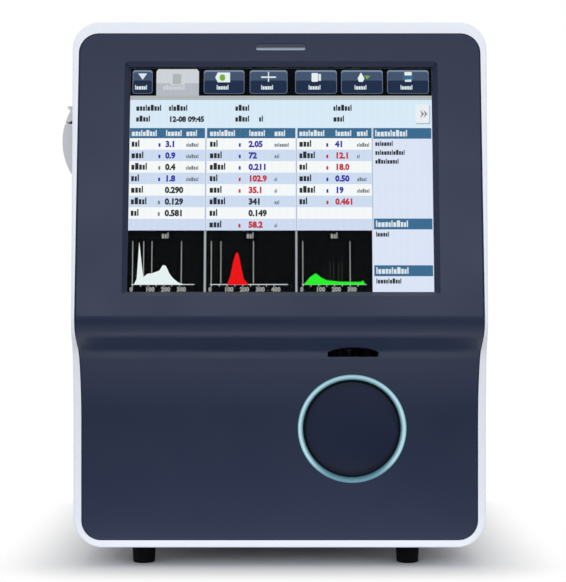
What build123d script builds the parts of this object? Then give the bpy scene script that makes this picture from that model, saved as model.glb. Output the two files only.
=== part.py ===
# Hematology analyzer: a benchtop instrument with a tilted touch screen, a rounded nose with the
# probe opening under it, and a round aspirate key on the lower face.
# The origin is on the table, on the housing's middle plane, midway between front and rear feet.
# The instrument faces -Y, and +X is to the right of the person in front of it.
from build123d import *
import os
from math import cos, pi, radians, sin, sqrt, tan

os.makedirs("parts", exist_ok=True)

# Housing, in millimetres
housing_width = 300.0
housing_height = 381.0
foot_height = 14.0
corner_radius = 22.0
rear_y = 178.0
seam_y = -152.0
taper_start = -165.0
front_taper = 5.0
wall = 3.0
seam_gap = 0.3
rear_sheet = 2.0
base_rise = 26.0
top_drop = 35.0
tongue = 1.8
tongue_reach = 8.0

# Side view of the front: tilted screen face, nose, underside, cove and lower face
nose_y = -201.0
nose_z = 181.0
nose_radius = 16.0
face_tilt = 7.78
under_slope = 31.0
under_run = 15.0
cove_radius = 20.0
sweep_slope = 62.0
sweep_radius = 95.0

# Dark front panel in the white front frame
rim_side = 7.0
rim_top = 10.8
rim_bottom = 6.6
panel_corner = 14.0
panel_gap = 0.3
skin = 3.0
return_depth = 12.0
ledge = 3.0
ledge_width = 7.0
frame_round = 1.6
panel_round = 1.2

# Screen
screen_width = 216.2
screen_height = 162.2
screen_x = 1.0
screen_z = 280.4
bevel = 3.4
glass_margin = 5.0
glass_thickness = 1.8
display_margin = 6.0
display_thickness = 7.0
bracket_sheet = 1.2
bracket_flange = 3.0

# Status indicator
indicator_x = 0.8
indicator_z = 374.5
indicator_width = 35.0
indicator_height = 4.6
indicator_depth = 4.0

# Aspirate key with its light ring
key_inset = 97.7
key_z = 101.0
ring_diameter = 78.5
ring_band = 3.8
ring_proud = 0.4
key_gap = 0.6
key_recess = 3.0
ring_bevel = 2.4
key_travel = 2.5
key_shell = 2.5
key_skirt = 13.0
dish_radius = 200.0
dish_depth = 2.6

# Probe opening, a slot with an arched front edge
port_inset = 97.6
port_width = 36.3
port_rear = -189.7
port_side = -192.7
port_front = -197.7
port_brow = 160.4
port_shoulder = 156.6
port_sill = 153.3
port_corner = 1.5

# Feet
foot_inset = 52.5
foot_pitch_y = 296.0
foot_shift = -3.0
foot_top = 17.5
foot_bottom = 16.0
foot_recess = 8.0
foot_floor = 4.0
head_pocket = 4.0
screw_diameter = 4.0
screw_clearance = 0.4
case_screw = 3.0
case_screw_length = 10.0
boss_length = 14.0
boss_radius = 4.5

# Sampling unit
divider_inset = 130.0
divider_sheet = 2.0
divider_top = 345.0
rail_z = 262.0
rail_height = 9.0
rail_depth = 6.5
rail_rear = -8.0
slide_clearance = 0.1
carriage_y = -168.0
carriage_width = 26.0
carriage_offset = 13.0
carriage_low = 166.0
carriage_high = 296.0
carriage_sheet = 3.0
flange_thickness = 4.0
belt_z = 285.0
belt_offset = 8.0
belt_width = 5.4
belt_thickness = 1.2
pulley_radius = 6.1
pulley_rear = -12.0
idler_y = -175.0
motor_side = 28.0
motor_length = 30.0
shaft_diameter = 5.0
fit = 0.05
probe_y = -193.7
probe_diameter = 1.8
probe_tip = 165.0
arm_z = 216.0
arm_height = 12.0
lift_offset = 27.0
rod_offset = 20.5
rod_diameter = 4.0
rod_spacing = 14.0

# Bath cups under the probe's path
bath_outer = 22.0
bath_inner = 16.0
bath_floor = 103.0
bath_top = 156.0
bath_bottom = 9.0
white_bath_y = -115.0
red_bath_y = -63.7

# Syringes
syringe_inset = 63.0
syringe_front_y = -128.0
syringe_pitch = 44.0
diluent_bore = 18.0
sample_bore = 5.0
barrel_wall = 2.0
barrel_length = 70.0
shelf_z = 128.0
plunger_travel = 40.0
plunger_rod = 4.0
screw_offset = 22.0
bracket_offset = 15.0
bracket_plate = 2.0
bracket_top = 215.0

# Fluidics bay
manifold_x = 12.0
manifold_low = 120.0
manifold_high = 310.0
manifold_front = 20.0
manifold_rear = 110.0
valve_pitch = 40.0
valve_side = 22.0
pump_length = 62.0
pump_inset = 46.0
pump_pitch = 46.0
pump_front = 40.0
chamber_inset = 58.0
tube_diameter = 3.2

# Recorder in the left panel
recorder_y = -103.0
recorder_width = 82.0
recorder_low = 278.5
recorder_high = 341.5
recorder_depth = 52.0
recorder_wall = 2.0
bulge_radius = 46.5
bulge_inset = 34.9
bulge_z = 311.3
door_top = 324.8
door_shell = 2.5
pivot_inset = 2.0
pivot_z = 285.5
knuckle = 3.0
lever_inset = 2.5
lever_pivot_z = 333.0
hook_reach = 7.6
hook_z = 337.6
platen_radius = 5.0
platen_z = 318.0
roll_radius = 20.0
roll_core = 6.0
roll_width = 58.0

# Right door
hinge_y = 170.0
hinge_radius = 4.5
hinge_pin = 4.0
rib_depth = 4.0
rib_width = 1.5

# Rear side
fan_inset = 75.0
fan_z = 250.0
fan_side = 80.0
fan_depth = 25.0
fan_bore = 76.0
fan_hub = 16.0
fan_tip = 1.2
blade_count = 7
inlet_inset = 40.0
inlet_z = 62.0
rocker_width = 12.4
rocker_height = 20.0
rocker_throw = 8.0
fitting_pitch = 22.0
fitting_inset = 90.0
fitting_z = 72.0
fitting_reach = 10.0
port_block_inset = 35.0
vent_inset = 75.0
vent_z = 240.0

# Chassis, screws and ribs of the covers
chassis_sheet = 2.0
chassis_margin = 24.0
chassis_vent_inset = 90.0
top_screw_inset = 40.0
base_screw_inset = 60.0
rib_margin = 49.7
rib_pitch = 55.0

# Power supply on the chassis
supply_inset = 28.0
supply_width = 86.0
supply_front = -126.0
supply_length = 176.0
supply_height = 46.0

# Places that follow from the sizes above
half_width = housing_width / 2
housing_bottom = foot_height
housing_top = foot_height + housing_height
middle_z = housing_bottom + housing_height / 2
cover_back = rear_y - rear_sheet
cover_front = seam_y + seam_gap
base_top = housing_bottom + base_rise
cover_low = housing_top - top_drop
floor_z = housing_bottom + wall
panel_low = housing_bottom + rim_bottom
panel_high = housing_top - rim_top
panel_width = housing_width - 2 * rim_side
panel_height = panel_high - panel_low
panel_z = (panel_low + panel_high) / 2
under_end_y = nose_y - nose_radius * sin(radians(under_slope)) + under_run * cos(radians(under_slope))
cove_end_y = under_end_y + cove_radius * (sin(radians(sweep_slope)) - sin(radians(under_slope)))
lower_face_y = cove_end_y + sweep_radius * (1 - sin(radians(sweep_slope)))
chassis_top = floor_z + chassis_sheet
side_low = base_top + seam_gap
side_high = cover_low - seam_gap
side_back = cover_back - seam_gap
key_x = half_width - key_inset
port_x = half_width - port_inset
divider_x = half_width - divider_inset
belt_x = divider_x + belt_offset
carriage_x = divider_x + carriage_offset
rod_x = divider_x + rod_offset
screw_x = divider_x + lift_offset
syringe_x = half_width - syringe_inset
bracket_x = syringe_x - bracket_offset
pivot_x = -half_width + pivot_inset
lever_pivot_x = -half_width + lever_inset
hook_x = -half_width - hook_reach
bulge_x = -half_width + bulge_inset
fan_x = -half_width + fan_inset
inlet_x = -half_width + inlet_inset
fitting_x = half_width - fitting_inset
port_block_x = divider_x - port_block_inset
chassis_half = half_width - chassis_margin
chassis_vent_x = -half_width + chassis_vent_inset
top_screw_x = half_width - top_screw_inset
base_screw_x = half_width - base_screw_inset
supply_x = -half_width + supply_inset
pump_spots = [half_width - pump_inset - i * pump_pitch for i in (1, 0)]
chamber_x = half_width - chamber_inset
end_ribs = (side_low + rib_margin, side_high - rib_margin)
foot_pitch_x = housing_width - 2 * foot_inset
foot_spots = [
    (foot_shift + side * foot_pitch_x / 2, end * foot_pitch_y / 2) for side in (-1, 1) for end in (-1, 1)
]


def face_y(z):
    """Y of the tilted screen face at height z."""
    start_y = nose_y - nose_radius * cos(radians(face_tilt))
    start_z = nose_z + nose_radius * sin(radians(face_tilt))
    return start_y + (z - start_z) * tan(radians(face_tilt))


def face_plane(x, z, depth=0.0):
    """Plane on the tilted screen face, looking out, set back by depth."""
    tilt = radians(face_tilt)
    plane = Plane(origin=(x, face_y(z), z), x_dir=(1, 0, 0), z_dir=(0, -cos(tilt), sin(tilt)))
    return plane.offset(-depth)


def front_plane(y):
    """Upright plane facing the front, whose local axes are X and Z."""
    return Plane.XZ.offset(-y)


def write(piece, name):
    """Label a finished piece and write it."""
    piece.part.label = name
    export_step(piece.part, f"parts/{name}.step")


def block(low, high, mode=Mode.ADD):
    """Box between two corners."""
    with Locations(low):
        Box(*[b - a for a, b in zip(low, high)], align=(Align.MIN, Align.MIN, Align.MIN), mode=mode)


def rod(start, axis, length, radius, mode=Mode.ADD):
    """Cylinder from a start point along an axis."""
    with Locations(Plane(start, z_dir=axis)):
        Cylinder(radius, length, align=(Align.CENTER, Align.CENTER, Align.MIN), mode=mode)


def side_face(depth, shift, low, high, back):
    """Side view of what lies behind the front line, set depth inside it and shifted back."""
    radius = nose_radius - depth
    slope_start_z = nose_z + radius * sin(radians(face_tilt))
    slope_start_y = nose_y + shift - radius * cos(radians(face_tilt))
    front_top = (slope_start_y + (high - slope_start_z) * tan(radians(face_tilt)), high)
    with BuildSketch() as face:
        with BuildLine():
            slope = Line(front_top, (slope_start_y, slope_start_z))
            nose = JernArc(slope @ 1, slope % 1, radius, 90 + face_tilt - under_slope)
            under = Line(nose @ 1, (nose @ 1) + (nose % 1) * under_run)
            cove = JernArc(under @ 1, under % 1, cove_radius + depth, under_slope - sweep_slope)
            sweep_arc = JernArc(cove @ 1, cove % 1, sweep_radius + depth, sweep_slope - 90)
            foot = Vector((sweep_arc @ 1).X, low)
            Polyline(sweep_arc @ 1, foot, (back, low), (back, high), front_top)
        make_face()
    return face.sketch


def behind_front(depth, shift, low=None, high=None, back=0.0, mode=Mode.ADD):
    """Solid as wide as the housing, behind the front line."""
    with BuildSketch(Plane.YZ) as face:
        add(side_face(depth, shift, housing_bottom if low is None else low,
                      housing_top if high is None else high, back))
    extrude(to_extrude=face.sketch, amount=half_width, both=True, mode=mode)


def housing_block(inset, shift, back):
    """Rounded front block of the housing, narrowing towards the front."""
    with BuildPart() as body:
        with BuildSketch(front_plane(taper_start)) as outline:
            with Locations((0, middle_z)):
                RectangleRounded(housing_width - 2 * inset, housing_height - 2 * inset,
                                 corner_radius - inset)
        extrude(amount=-(back - taper_start))
        extrude(to_extrude=outline.sketch, amount=60, taper=front_taper)
        behind_front(0, shift, back=back + 1, mode=Mode.INTERSECT)
    return body.part


def window_block(width, height, radius, front_depth, back):
    """Rounded window through the front, ending front_depth behind the front line."""
    with BuildPart() as body:
        with BuildSketch(front_plane(back)):
            with Locations((0, panel_z)):
                RectangleRounded(width, height, radius)
        extrude(amount=120)
        if front_depth is not None:
            behind_front(0, front_depth, mode=Mode.SUBTRACT)
    return body.part


def rim_edges(body, back, low, high):
    """Edges where the front meets the sides."""
    edges = []
    for edge in body.edges():
        box = edge.bounding_box()
        across = box.size.Y < 0.01 and box.size.Z < 0.01
        inner_line = across and low + 1 < box.center().Z < high - 1
        along = box.size.X < 0.01 and box.size.Z < 0.01
        if box.max.Y < back - 0.01 and not inner_line and not along:
            edges.append(edge)
    return edges


# White frame round the front, with the seat of the dark panel and a lug for the door magnet
magnet_z = 200.0
magnet_half = 10.0
with BuildPart() as front_frame:
    add(housing_block(0, 0, seam_y))
    rim = [e for e in rim_edges(front_frame, taper_start - 2, housing_bottom, housing_top)]
    fillet(rim, radius=frame_round)
    add(window_block(panel_width + 2 * panel_gap, panel_height + 2 * panel_gap,
                     panel_corner + panel_gap, return_depth, seam_y + 5), mode=Mode.SUBTRACT)
    add(housing_block(wall, return_depth + ledge, seam_y + 1), mode=Mode.SUBTRACT)
    add(window_block(panel_width - 2 * ledge_width, panel_height - 2 * ledge_width,
                     panel_corner - ledge_width, None, seam_y + 5), mode=Mode.SUBTRACT)
    block((half_width - wall - 8, seam_y - 10, magnet_z - magnet_half - 4),
          (half_width - wall + 0.5, seam_y, magnet_z + magnet_half + 4))
write(front_frame, "front_frame")

# Dark panel, a tray with the screen window, indicator slot, probe opening and key hole
with BuildPart() as panel_hollow:
    with BuildSketch(front_plane(seam_y)):
        with Locations((0, panel_z)):
            RectangleRounded(panel_width - 2 * skin, panel_height - 2 * skin, panel_corner - skin)
    extrude(amount=120)
    behind_front(skin, 0, mode=Mode.INTERSECT)

with BuildPart() as front_panel:
    with BuildSketch(front_plane(seam_y)):
        with Locations((0, panel_z)):
            RectangleRounded(panel_width, panel_height, panel_corner)
    extrude(amount=120)
    behind_front(0, 0, mode=Mode.INTERSECT)
    fillet(rim_edges(front_panel, seam_y - 2, panel_low, panel_high), radius=panel_round)
    add(panel_hollow.part, mode=Mode.SUBTRACT)
    behind_front(0, return_depth, mode=Mode.SUBTRACT)
    # Screen window with its bevel
    with BuildSketch(face_plane(screen_x, screen_z)):
        RectangleRounded(screen_width + 2 * bevel, screen_height + 2 * bevel, bevel)
    with BuildSketch(face_plane(screen_x, screen_z, skin)):
        RectangleRounded(screen_width, screen_height, 0.5)
    loft(mode=Mode.SUBTRACT)
    # Indicator slot
    with BuildSketch(face_plane(indicator_x, indicator_z)):
        RectangleRounded(indicator_width + 0.4, indicator_height + 0.4, 1.2)
    extrude(amount=-2 * skin, mode=Mode.SUBTRACT)
    # Hole for the ring and the key
    rod((key_x, lower_face_y - 20, key_z), (0, 1, 0), 30, ring_diameter / 2 + panel_gap, Mode.SUBTRACT)
    # Probe opening
    with BuildSketch(Plane.XY.offset(nose_z - 36)):
        with BuildLine():
            arch = ThreePointArc((port_x - port_width / 2, port_side), (port_x, port_front),
                                 (port_x + port_width / 2, port_side))
            Polyline(arch @ 1, (port_x + port_width / 2, port_rear),
                     (port_x - port_width / 2, port_rear), arch @ 0)
        make_face()
    extrude(amount=26, mode=Mode.SUBTRACT)
    with BuildSketch(front_plane(lower_face_y)):
        with BuildLine():
            brow = ThreePointArc((port_x - port_width / 2, port_shoulder), (port_x, port_brow),
                                 (port_x + port_width / 2, port_shoulder))
            Polyline(brow @ 1, (port_x + port_width / 2, port_sill),
                     (port_x - port_width / 2, port_sill), brow @ 0)
        sill = make_face()
        fillet(sill.vertices().group_by(Axis.Y)[0], port_corner)
    extrude(amount=lower_face_y - nose_y, mode=Mode.SUBTRACT)
write(front_panel, "front_panel")


def cover_ring(outer, inner, low, high):
    """Front view of a strip of the housing's wall between two heights."""
    with BuildSketch() as ring:
        with Locations((0, middle_z)):
            RectangleRounded(housing_width - 2 * outer, housing_height - 2 * outer, corner_radius - outer)
            RectangleRounded(housing_width - 2 * inner, housing_height - 2 * inner,
                             corner_radius - inner, mode=Mode.SUBTRACT)
        with Locations((0, (low + high) / 2)):
            Rectangle(housing_width + 2, high - low, mode=Mode.INTERSECT)
    return ring.sketch


def cover_strip(outer, inner, low, high, front, back):
    """Length of wall strip between two y places."""
    with BuildSketch(front_plane(front)) as strip:
        add(cover_ring(outer, inner, low, high))
    extrude(to_extrude=strip.sketch, amount=-(back - front))


def cover_body(low, high, tongue_low, tongue_high):
    """Cover wall with the tongue that slides under the front frame."""
    cover_strip(0, wall, low, high, cover_front, cover_back)
    tongue_back = cover_front + tongue_reach
    cover_strip(wall + seam_gap, wall + tongue, tongue_low, tongue_high, seam_y - tongue_reach, tongue_back)
    cover_strip(wall, wall + tongue, tongue_low, tongue_high, cover_front, tongue_back)


def screw_boss(x, z):
    """Boss for a case screw at the rear edge of a cover."""
    rod((x, cover_back, z), (0, -1, 0), boss_length, boss_radius)
    rod((x, cover_back, z), (0, -1, 0), boss_length - 3, (case_screw + screw_clearance) / 2, Mode.SUBTRACT)


def hinge_ear(low, high):
    """Ear of the right door's hinge with its pin hole."""
    hinge_x = half_width - hinge_radius
    block((hinge_x - 5, hinge_y - 6, low), (half_width - wall + 0.5, cover_back, high))
    rod((hinge_x, hinge_y, low), (0, 0, 1), high - low, hinge_pin / 2 + fit, Mode.SUBTRACT)


ear_height = 10.0
with BuildPart() as top_cover:
    cover_body(cover_low, housing_top, cover_low + wall, housing_top - wall)
    for rib_x in (-80, 0, 80):
        block((rib_x - rib_width, cover_front + 12, housing_top - wall - rib_depth),
              (rib_x + rib_width, cover_back - 20, housing_top - wall + 0.5))
    for side in (-1, 1):
        screw_boss(side * top_screw_x, housing_top - wall - 4)
    hinge_ear(cover_low, cover_low + ear_height)
write(top_cover, "top_cover")

with BuildPart() as base_cover:
    cover_body(housing_bottom, base_top, chassis_top + wall, base_top - wall)
    for side in (-1, 1):
        screw_boss(side * base_screw_x, housing_bottom + wall + 4)
    hinge_ear(base_top - ear_height, base_top)
    with Locations(*[(x, y, housing_bottom) for x, y in foot_spots]):
        Cylinder((screw_diameter + screw_clearance) / 2, 3 * wall, mode=Mode.SUBTRACT)
    # Air slots in the floor
    with BuildSketch(Plane.XY.offset(housing_bottom)):
        with Locations((chassis_vent_x, 0)):
            with GridLocations(9, 0, 10, 1):
                SlotOverall(50, 4, rotation=90)
    extrude(amount=wall, mode=Mode.SUBTRACT)
write(base_cover, "base_cover")

recorder_front = recorder_y - recorder_width / 2
recorder_back = recorder_y + recorder_width / 2
with BuildPart() as left_panel:
    block((-half_width, cover_front, side_low), (-half_width + wall, side_back, side_high))
    for low, lip_low in ((side_low, side_low - 6), (side_high - 8, side_high - 8)):
        block((-half_width + wall, cover_front + 10, low), (-half_width + wall + tongue, side_back - 12,
                                                            low + 8))
        block((-half_width + wall + seam_gap, cover_front + 10, lip_low),
              (-half_width + wall + tongue, side_back - 12, lip_low + 14))
    block((-half_width - 1, recorder_front - recorder_wall - seam_gap, recorder_low - recorder_wall - seam_gap),
          (-half_width + 10, recorder_back + recorder_wall + seam_gap,
           recorder_high + recorder_wall + seam_gap), Mode.SUBTRACT)
    # Air slots at the rear
    with BuildSketch(Plane.YZ.offset(-half_width - 1)):
        with Locations((110, 110)):
            with GridLocations(8, 0, 10, 1):
                SlotOverall(44, 3.5, rotation=90)
    extrude(amount=wall + 2, mode=Mode.SUBTRACT)
    for boss_z in end_ribs:
        block((-half_width + wall - 0.5, side_back - 14, boss_z - 5),
              (-half_width + wall + 8, side_back, boss_z + 5))
        rod((-half_width + wall + 4, side_back, boss_z), (0, -1, 0), 11, (case_screw + screw_clearance) / 2,
            Mode.SUBTRACT)
write(left_panel, "left_panel")

# Right service door, with a rolled hinge edge, ribs and a finger scoop
hinge_x = half_width - hinge_radius
with BuildPart() as right_door:
    block((half_width - wall, cover_front, side_low), (half_width, hinge_y, side_high))
    rod((hinge_x, hinge_y, side_low), (0, 0, 1), side_high - side_low, hinge_radius)
    for rib_z in (end_ribs[0], end_ribs[0] + rib_pitch, end_ribs[1] - rib_pitch, end_ribs[1]):
        block((half_width - wall - rib_depth, cover_front + 14, rib_z - rib_width / 2),
              (half_width - wall + 0.5, hinge_y - 14, rib_z + rib_width / 2))
    for end_z, way in ((side_low, 1), (side_high, -1)):
        rod((hinge_x, hinge_y, end_z), (0, 0, way), 12, hinge_pin / 2 + fit, Mode.SUBTRACT)
    with Locations((half_width + 22, cover_front, magnet_z)):
        Sphere(24, mode=Mode.SUBTRACT)
write(right_door, "right_door")

with BuildPart() as hinge_pins:
    rod((hinge_x, hinge_y, side_low - seam_gap - ear_height + 2), (0, 0, 1), ear_height + 8, hinge_pin / 2)
    rod((hinge_x, hinge_y, side_high + seam_gap + ear_height - 2), (0, 0, -1), ear_height + 8,
        hinge_pin / 2)
write(hinge_pins, "hinge_pins")

with BuildPart() as door_magnet:
    block((half_width - wall - 8, seam_y, magnet_z - magnet_half),
          (half_width - wall - 0.2, seam_y + 8, magnet_z + magnet_half))
    chamfer(door_magnet.edges().filter_by(Axis.Z), 0.8)
write(door_magnet, "door_magnet")

# Rear panel with its grille, sockets and screw holes
inlet_width = 30.0
inlet_height = 56.0
port_block_z = 66.0
lan_width = 16.0
lan_height = 13.5
usb_width = 6.8
usb_height = 14.5
usb_pitch = 12.0
usb_spots = [port_block_x + 20 + i * usb_pitch - 50 for i in range(3)]
lan_x = port_block_x + 18
fitting_spots = [fitting_x + i * fitting_pitch for i in range(4)]
rear_screws = [(side * top_screw_x, housing_top - wall - 4) for side in (-1, 1)]
rear_screws += [(side * base_screw_x, housing_bottom + wall + 4) for side in (-1, 1)]
rear_screws += [(-half_width + wall + 4, z) for z in end_ribs]
port_gap = 0.3
with BuildPart() as rear_panel:
    with BuildSketch(front_plane(cover_back)):
        with Locations((0, middle_z)):
            RectangleRounded(housing_width - 0.8, housing_height - 0.8, corner_radius - 0.4)
        with Locations(*rear_screws):
            Circle((case_screw + screw_clearance) / 2, mode=Mode.SUBTRACT)
        with Locations((inlet_x, inlet_z)):
            Rectangle(inlet_width - 4, inlet_height - 4, mode=Mode.SUBTRACT)
        with Locations(*[(x, fitting_z) for x in fitting_spots]):
            Circle(4.2, mode=Mode.SUBTRACT)
        with Locations((lan_x, port_block_z)):
            Rectangle(lan_width + 2 * port_gap, lan_height + 2 * port_gap, mode=Mode.SUBTRACT)
        with Locations(*[(x, port_block_z) for x in usb_spots]):
            Rectangle(usb_width + 2 * port_gap, usb_height + 2 * port_gap, mode=Mode.SUBTRACT)
        # Fan grille: upright slots inside the fan's circle
        for i in range(-4, 5):
            slot_x = i * 7.5
            slot_half = sqrt((fan_bore / 2 - 2) ** 2 - slot_x ** 2)
            with Locations((fan_x + slot_x, fan_z)):
                SlotOverall(2 * slot_half, 4, rotation=90, mode=Mode.SUBTRACT)
        with Locations((half_width - vent_inset, vent_z)):
            with GridLocations(9, 0, 9, 1):
                SlotOverall(60, 4, rotation=90, mode=Mode.SUBTRACT)
    extrude(amount=-rear_sheet)
write(rear_panel, "rear_panel")

with BuildPart() as case_screws:
    for x, z in rear_screws:
        rod((x, rear_y, z), (0, -1, 0), case_screw_length, case_screw / 2)
        rod((x, rear_y, z), (0, 1, 0), 2.0, case_screw)
        with Locations(Plane((x, rear_y + 0.8, z), z_dir=(0, 1, 0))):
            Box(1.0, 3.6, 2.4, align=(Align.CENTER, Align.CENTER, Align.MIN), mode=Mode.SUBTRACT)
            Box(3.6, 1.0, 2.4, align=(Align.CENTER, Align.CENTER, Align.MIN), mode=Mode.SUBTRACT)
write(case_screws, "case_screws")

# Chassis plate on the base, with folded edges, and the upright divider
chassis_front = -146.0
chassis_back = 172.0
with BuildPart() as chassis_plate:
    block((-chassis_half, chassis_front, floor_z), (chassis_half, chassis_back, chassis_top))
    for side in (-1, 1):
        fold = side * (chassis_half - chassis_sheet / 2)
        block((fold - chassis_sheet / 2, chassis_front, floor_z),
              (fold + chassis_sheet / 2, chassis_back, floor_z + 10))
    with Locations(*[(x, y, floor_z) for x, y in foot_spots]):
        Cylinder((screw_diameter + screw_clearance) / 2, 3 * wall, mode=Mode.SUBTRACT)
    with Locations((chassis_vent_x, 0, floor_z)):
        with GridLocations(9, 0, 10, 1):
            Box(4, 50, 3 * wall, mode=Mode.SUBTRACT)
    for side in (-1, 1):
        rod((side * base_screw_x, cover_back, housing_bottom + wall + 4), (0, -1, 0), boss_length + 2,
            boss_radius + 0.7, Mode.SUBTRACT)
write(chassis_plate, "chassis_plate")

rail_front = carriage_y - carriage_width / 2 - 2
divider_right = divider_x + divider_sheet
with BuildPart() as divider_plate:
    with BuildSketch(Plane.YZ.offset(divider_x)):
        with BuildLine():
            FilletPolyline((-146, chassis_top), (chassis_back, chassis_top), (chassis_back, divider_top - 60),
                           (60, divider_top), (-140, divider_top), (-140, belt_z + 22),
                           (rail_front - 0.5, belt_z + 18), (rail_front - 0.5, rail_z - 16),
                           (-146, rail_z - 40), radius=4, close=True)
        make_face()
        # Windows that lighten the sheet
        for low_y, high_y, low_z, high_z in ((-130, -20, 170, 240), (130, 158, 60, 240)):
            with Locations(((low_y + high_y) / 2, (low_z + high_z) / 2)):
                RectangleRounded(high_y - low_y, high_z - low_z, 6, mode=Mode.SUBTRACT)
        with Locations((pulley_rear, belt_z)):
            Circle(shaft_diameter / 2 + 2, mode=Mode.SUBTRACT)
    extrude(amount=divider_sheet)
    block((divider_x, -140, chassis_top), (divider_x + 14, chassis_back - 10, chassis_top + divider_sheet))
    # Post of the idler pulley and standoffs of the main board
    rod((divider_x + 1, idler_y, belt_z), (1, 0, 0), belt_x + belt_width / 2 + 1.6 - divider_x - 1, 1.5)
    for y in (-100, 0, 110):
        for z in (70, 160, 250):
            rod((divider_x + 0.5, y, z), (-1, 0, 0), 10.5, 3)
write(divider_plate, "divider_plate")

with BuildPart() as rubber_feet:
    for x, y in foot_spots:
        with Locations(Plane((x, y, 0), z_dir=(0, 0, 1))):
            Cone(foot_bottom / 2, foot_top / 2, foot_height, align=(Align.CENTER, Align.CENTER, Align.MIN))
    fillet(rubber_feet.edges().filter_by(GeomType.CIRCLE).group_by(Axis.Z)[0], 1.0)
    for x, y in foot_spots:
        with Locations((x, y, 0)):
            Cylinder(foot_recess / 2, foot_height - foot_floor, align=(Align.CENTER, Align.CENTER, Align.MIN),
                     mode=Mode.SUBTRACT)
            with Locations((0, 0, foot_height - foot_floor - head_pocket)):
                Cylinder(foot_recess / 2 + 0.5, head_pocket, align=(Align.CENTER, Align.CENTER, Align.MIN),
                         mode=Mode.SUBTRACT)
            Cylinder((screw_diameter + screw_clearance) / 2, foot_height,
                     align=(Align.CENTER, Align.CENTER, Align.MIN), mode=Mode.SUBTRACT)
write(rubber_feet, "rubber_feet")

with BuildPart() as foot_screws:
    for x, y in foot_spots:
        head_z = foot_height - foot_floor
        rod((x, y, head_z), (0, 0, 1), chassis_top + 3 - head_z, screw_diameter / 2)
        rod((x, y, head_z), (0, 0, -1), 3, 3.4)
        rod((x, y, chassis_top), (0, 0, 1), 2.8, 3.5)
        with Locations((x, y, head_z - 3)):
            Box(1.0, 4.4, 3, mode=Mode.SUBTRACT)
            Box(4.4, 1.0, 3, mode=Mode.SUBTRACT)
write(foot_screws, "foot_screws")

# Touch glass, display and its bracket behind the screen window
with BuildPart() as touch_glass:
    with BuildSketch(face_plane(screen_x, screen_z, skin)):
        RectangleRounded(screen_width + 2 * glass_margin, screen_height + 2 * glass_margin, 2)
    extrude(amount=-glass_thickness)
write(touch_glass, "touch_glass")

display_depth = skin + glass_thickness
with BuildPart() as display_module:
    with BuildSketch(face_plane(screen_x, screen_z, display_depth)):
        RectangleRounded(screen_width + 2 * display_margin, screen_height + 2 * display_margin, 1)
    extrude(amount=-display_thickness)
    with BuildSketch(face_plane(screen_x, screen_z, display_depth + display_thickness)):
        Rectangle(screen_width - 30, screen_height - 30)
    extrude(amount=1.0, mode=Mode.SUBTRACT)
write(display_module, "display_module")

tray_width = screen_width + 2 * display_margin + 0.6
tray_height = screen_height + 2 * display_margin + 0.6
tray_depth = display_depth + display_thickness
with BuildPart() as display_bracket:
    with BuildSketch(face_plane(screen_x, screen_z, tray_depth)):
        RectangleRounded(tray_width + 2 * bracket_sheet, tray_height + 2 * bracket_sheet, 2)
        with GridLocations(60, 50, 3, 2):
            RectangleRounded(44, 34, 5, mode=Mode.SUBTRACT)
    extrude(amount=-bracket_sheet)
    with BuildSketch(face_plane(screen_x, screen_z, tray_depth)):
        RectangleRounded(tray_width + 2 * bracket_sheet, tray_height + 2 * bracket_sheet, 2)
        Rectangle(tray_width, tray_height, mode=Mode.SUBTRACT)
    extrude(amount=tray_depth - skin)
    with BuildSketch(face_plane(screen_x, screen_z, skin)):
        RectangleRounded(tray_width + 2 * bracket_flange, tray_height + 2 * bracket_flange, 3)
        Rectangle(tray_width + bracket_sheet, tray_height + bracket_sheet, mode=Mode.SUBTRACT)
    extrude(amount=-bracket_sheet)
write(display_bracket, "display_bracket")

with BuildPart() as indicator_lens:
    with BuildSketch(face_plane(indicator_x, indicator_z, 0.3)):
        RectangleRounded(indicator_width, indicator_height, 1)
    extrude(amount=-indicator_depth)
    with BuildSketch(face_plane(indicator_x, indicator_z, skin)):
        RectangleRounded(indicator_width + 3, indicator_height + 3, 1.5)
    extrude(amount=-1.5)
write(indicator_lens, "indicator_lens")

# Aspirate key: housing behind the panel, light ring and dished key
ring_outer = ring_diameter / 2
ring_inner = ring_outer - ring_band
ring_back = lower_face_y + 10
flange_y = lower_face_y + skin + 0.3
key_floor = lower_face_y + key_skirt + key_travel + 2
with BuildPart() as key_housing:
    rod((key_x, flange_y, key_z), (0, 1, 0), 2, ring_outer + 5)
    rod((key_x, flange_y, key_z), (0, 1, 0), key_floor + 2 - flange_y, ring_outer + 2)
    rod((key_x, flange_y, key_z), (0, 1, 0), ring_back - flange_y, ring_outer + 0.2, Mode.SUBTRACT)
    rod((key_x, flange_y, key_z), (0, 1, 0), key_floor - flange_y, ring_inner, Mode.SUBTRACT)
    rod((key_x, key_floor + 0.5, key_z), (0, -1, 0), 2, 4)
write(key_housing, "key_housing")

with BuildPart() as key_light_ring:
    rod((key_x, lower_face_y - 12, key_z), (0, 1, 0), ring_back - lower_face_y + 12, ring_outer)
    rod((key_x, lower_face_y - 12, key_z), (0, 1, 0), ring_back - lower_face_y + 12, ring_inner,
        Mode.SUBTRACT)
    behind_front(-ring_proud, 0, mode=Mode.INTERSECT)
    front_edges = [e for e in key_light_ring.edges() if e.bounding_box().max.Y < lower_face_y + 2]
    inner_edges = [e for e in front_edges if max(
        (Vector(key_x, 0, key_z) - Vector(v.X, 0, v.Z)).length for v in e.vertices()) < ring_inner + 1]
    chamfer(inner_edges, length=ring_bevel)
write(key_light_ring, "key_light_ring")

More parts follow.
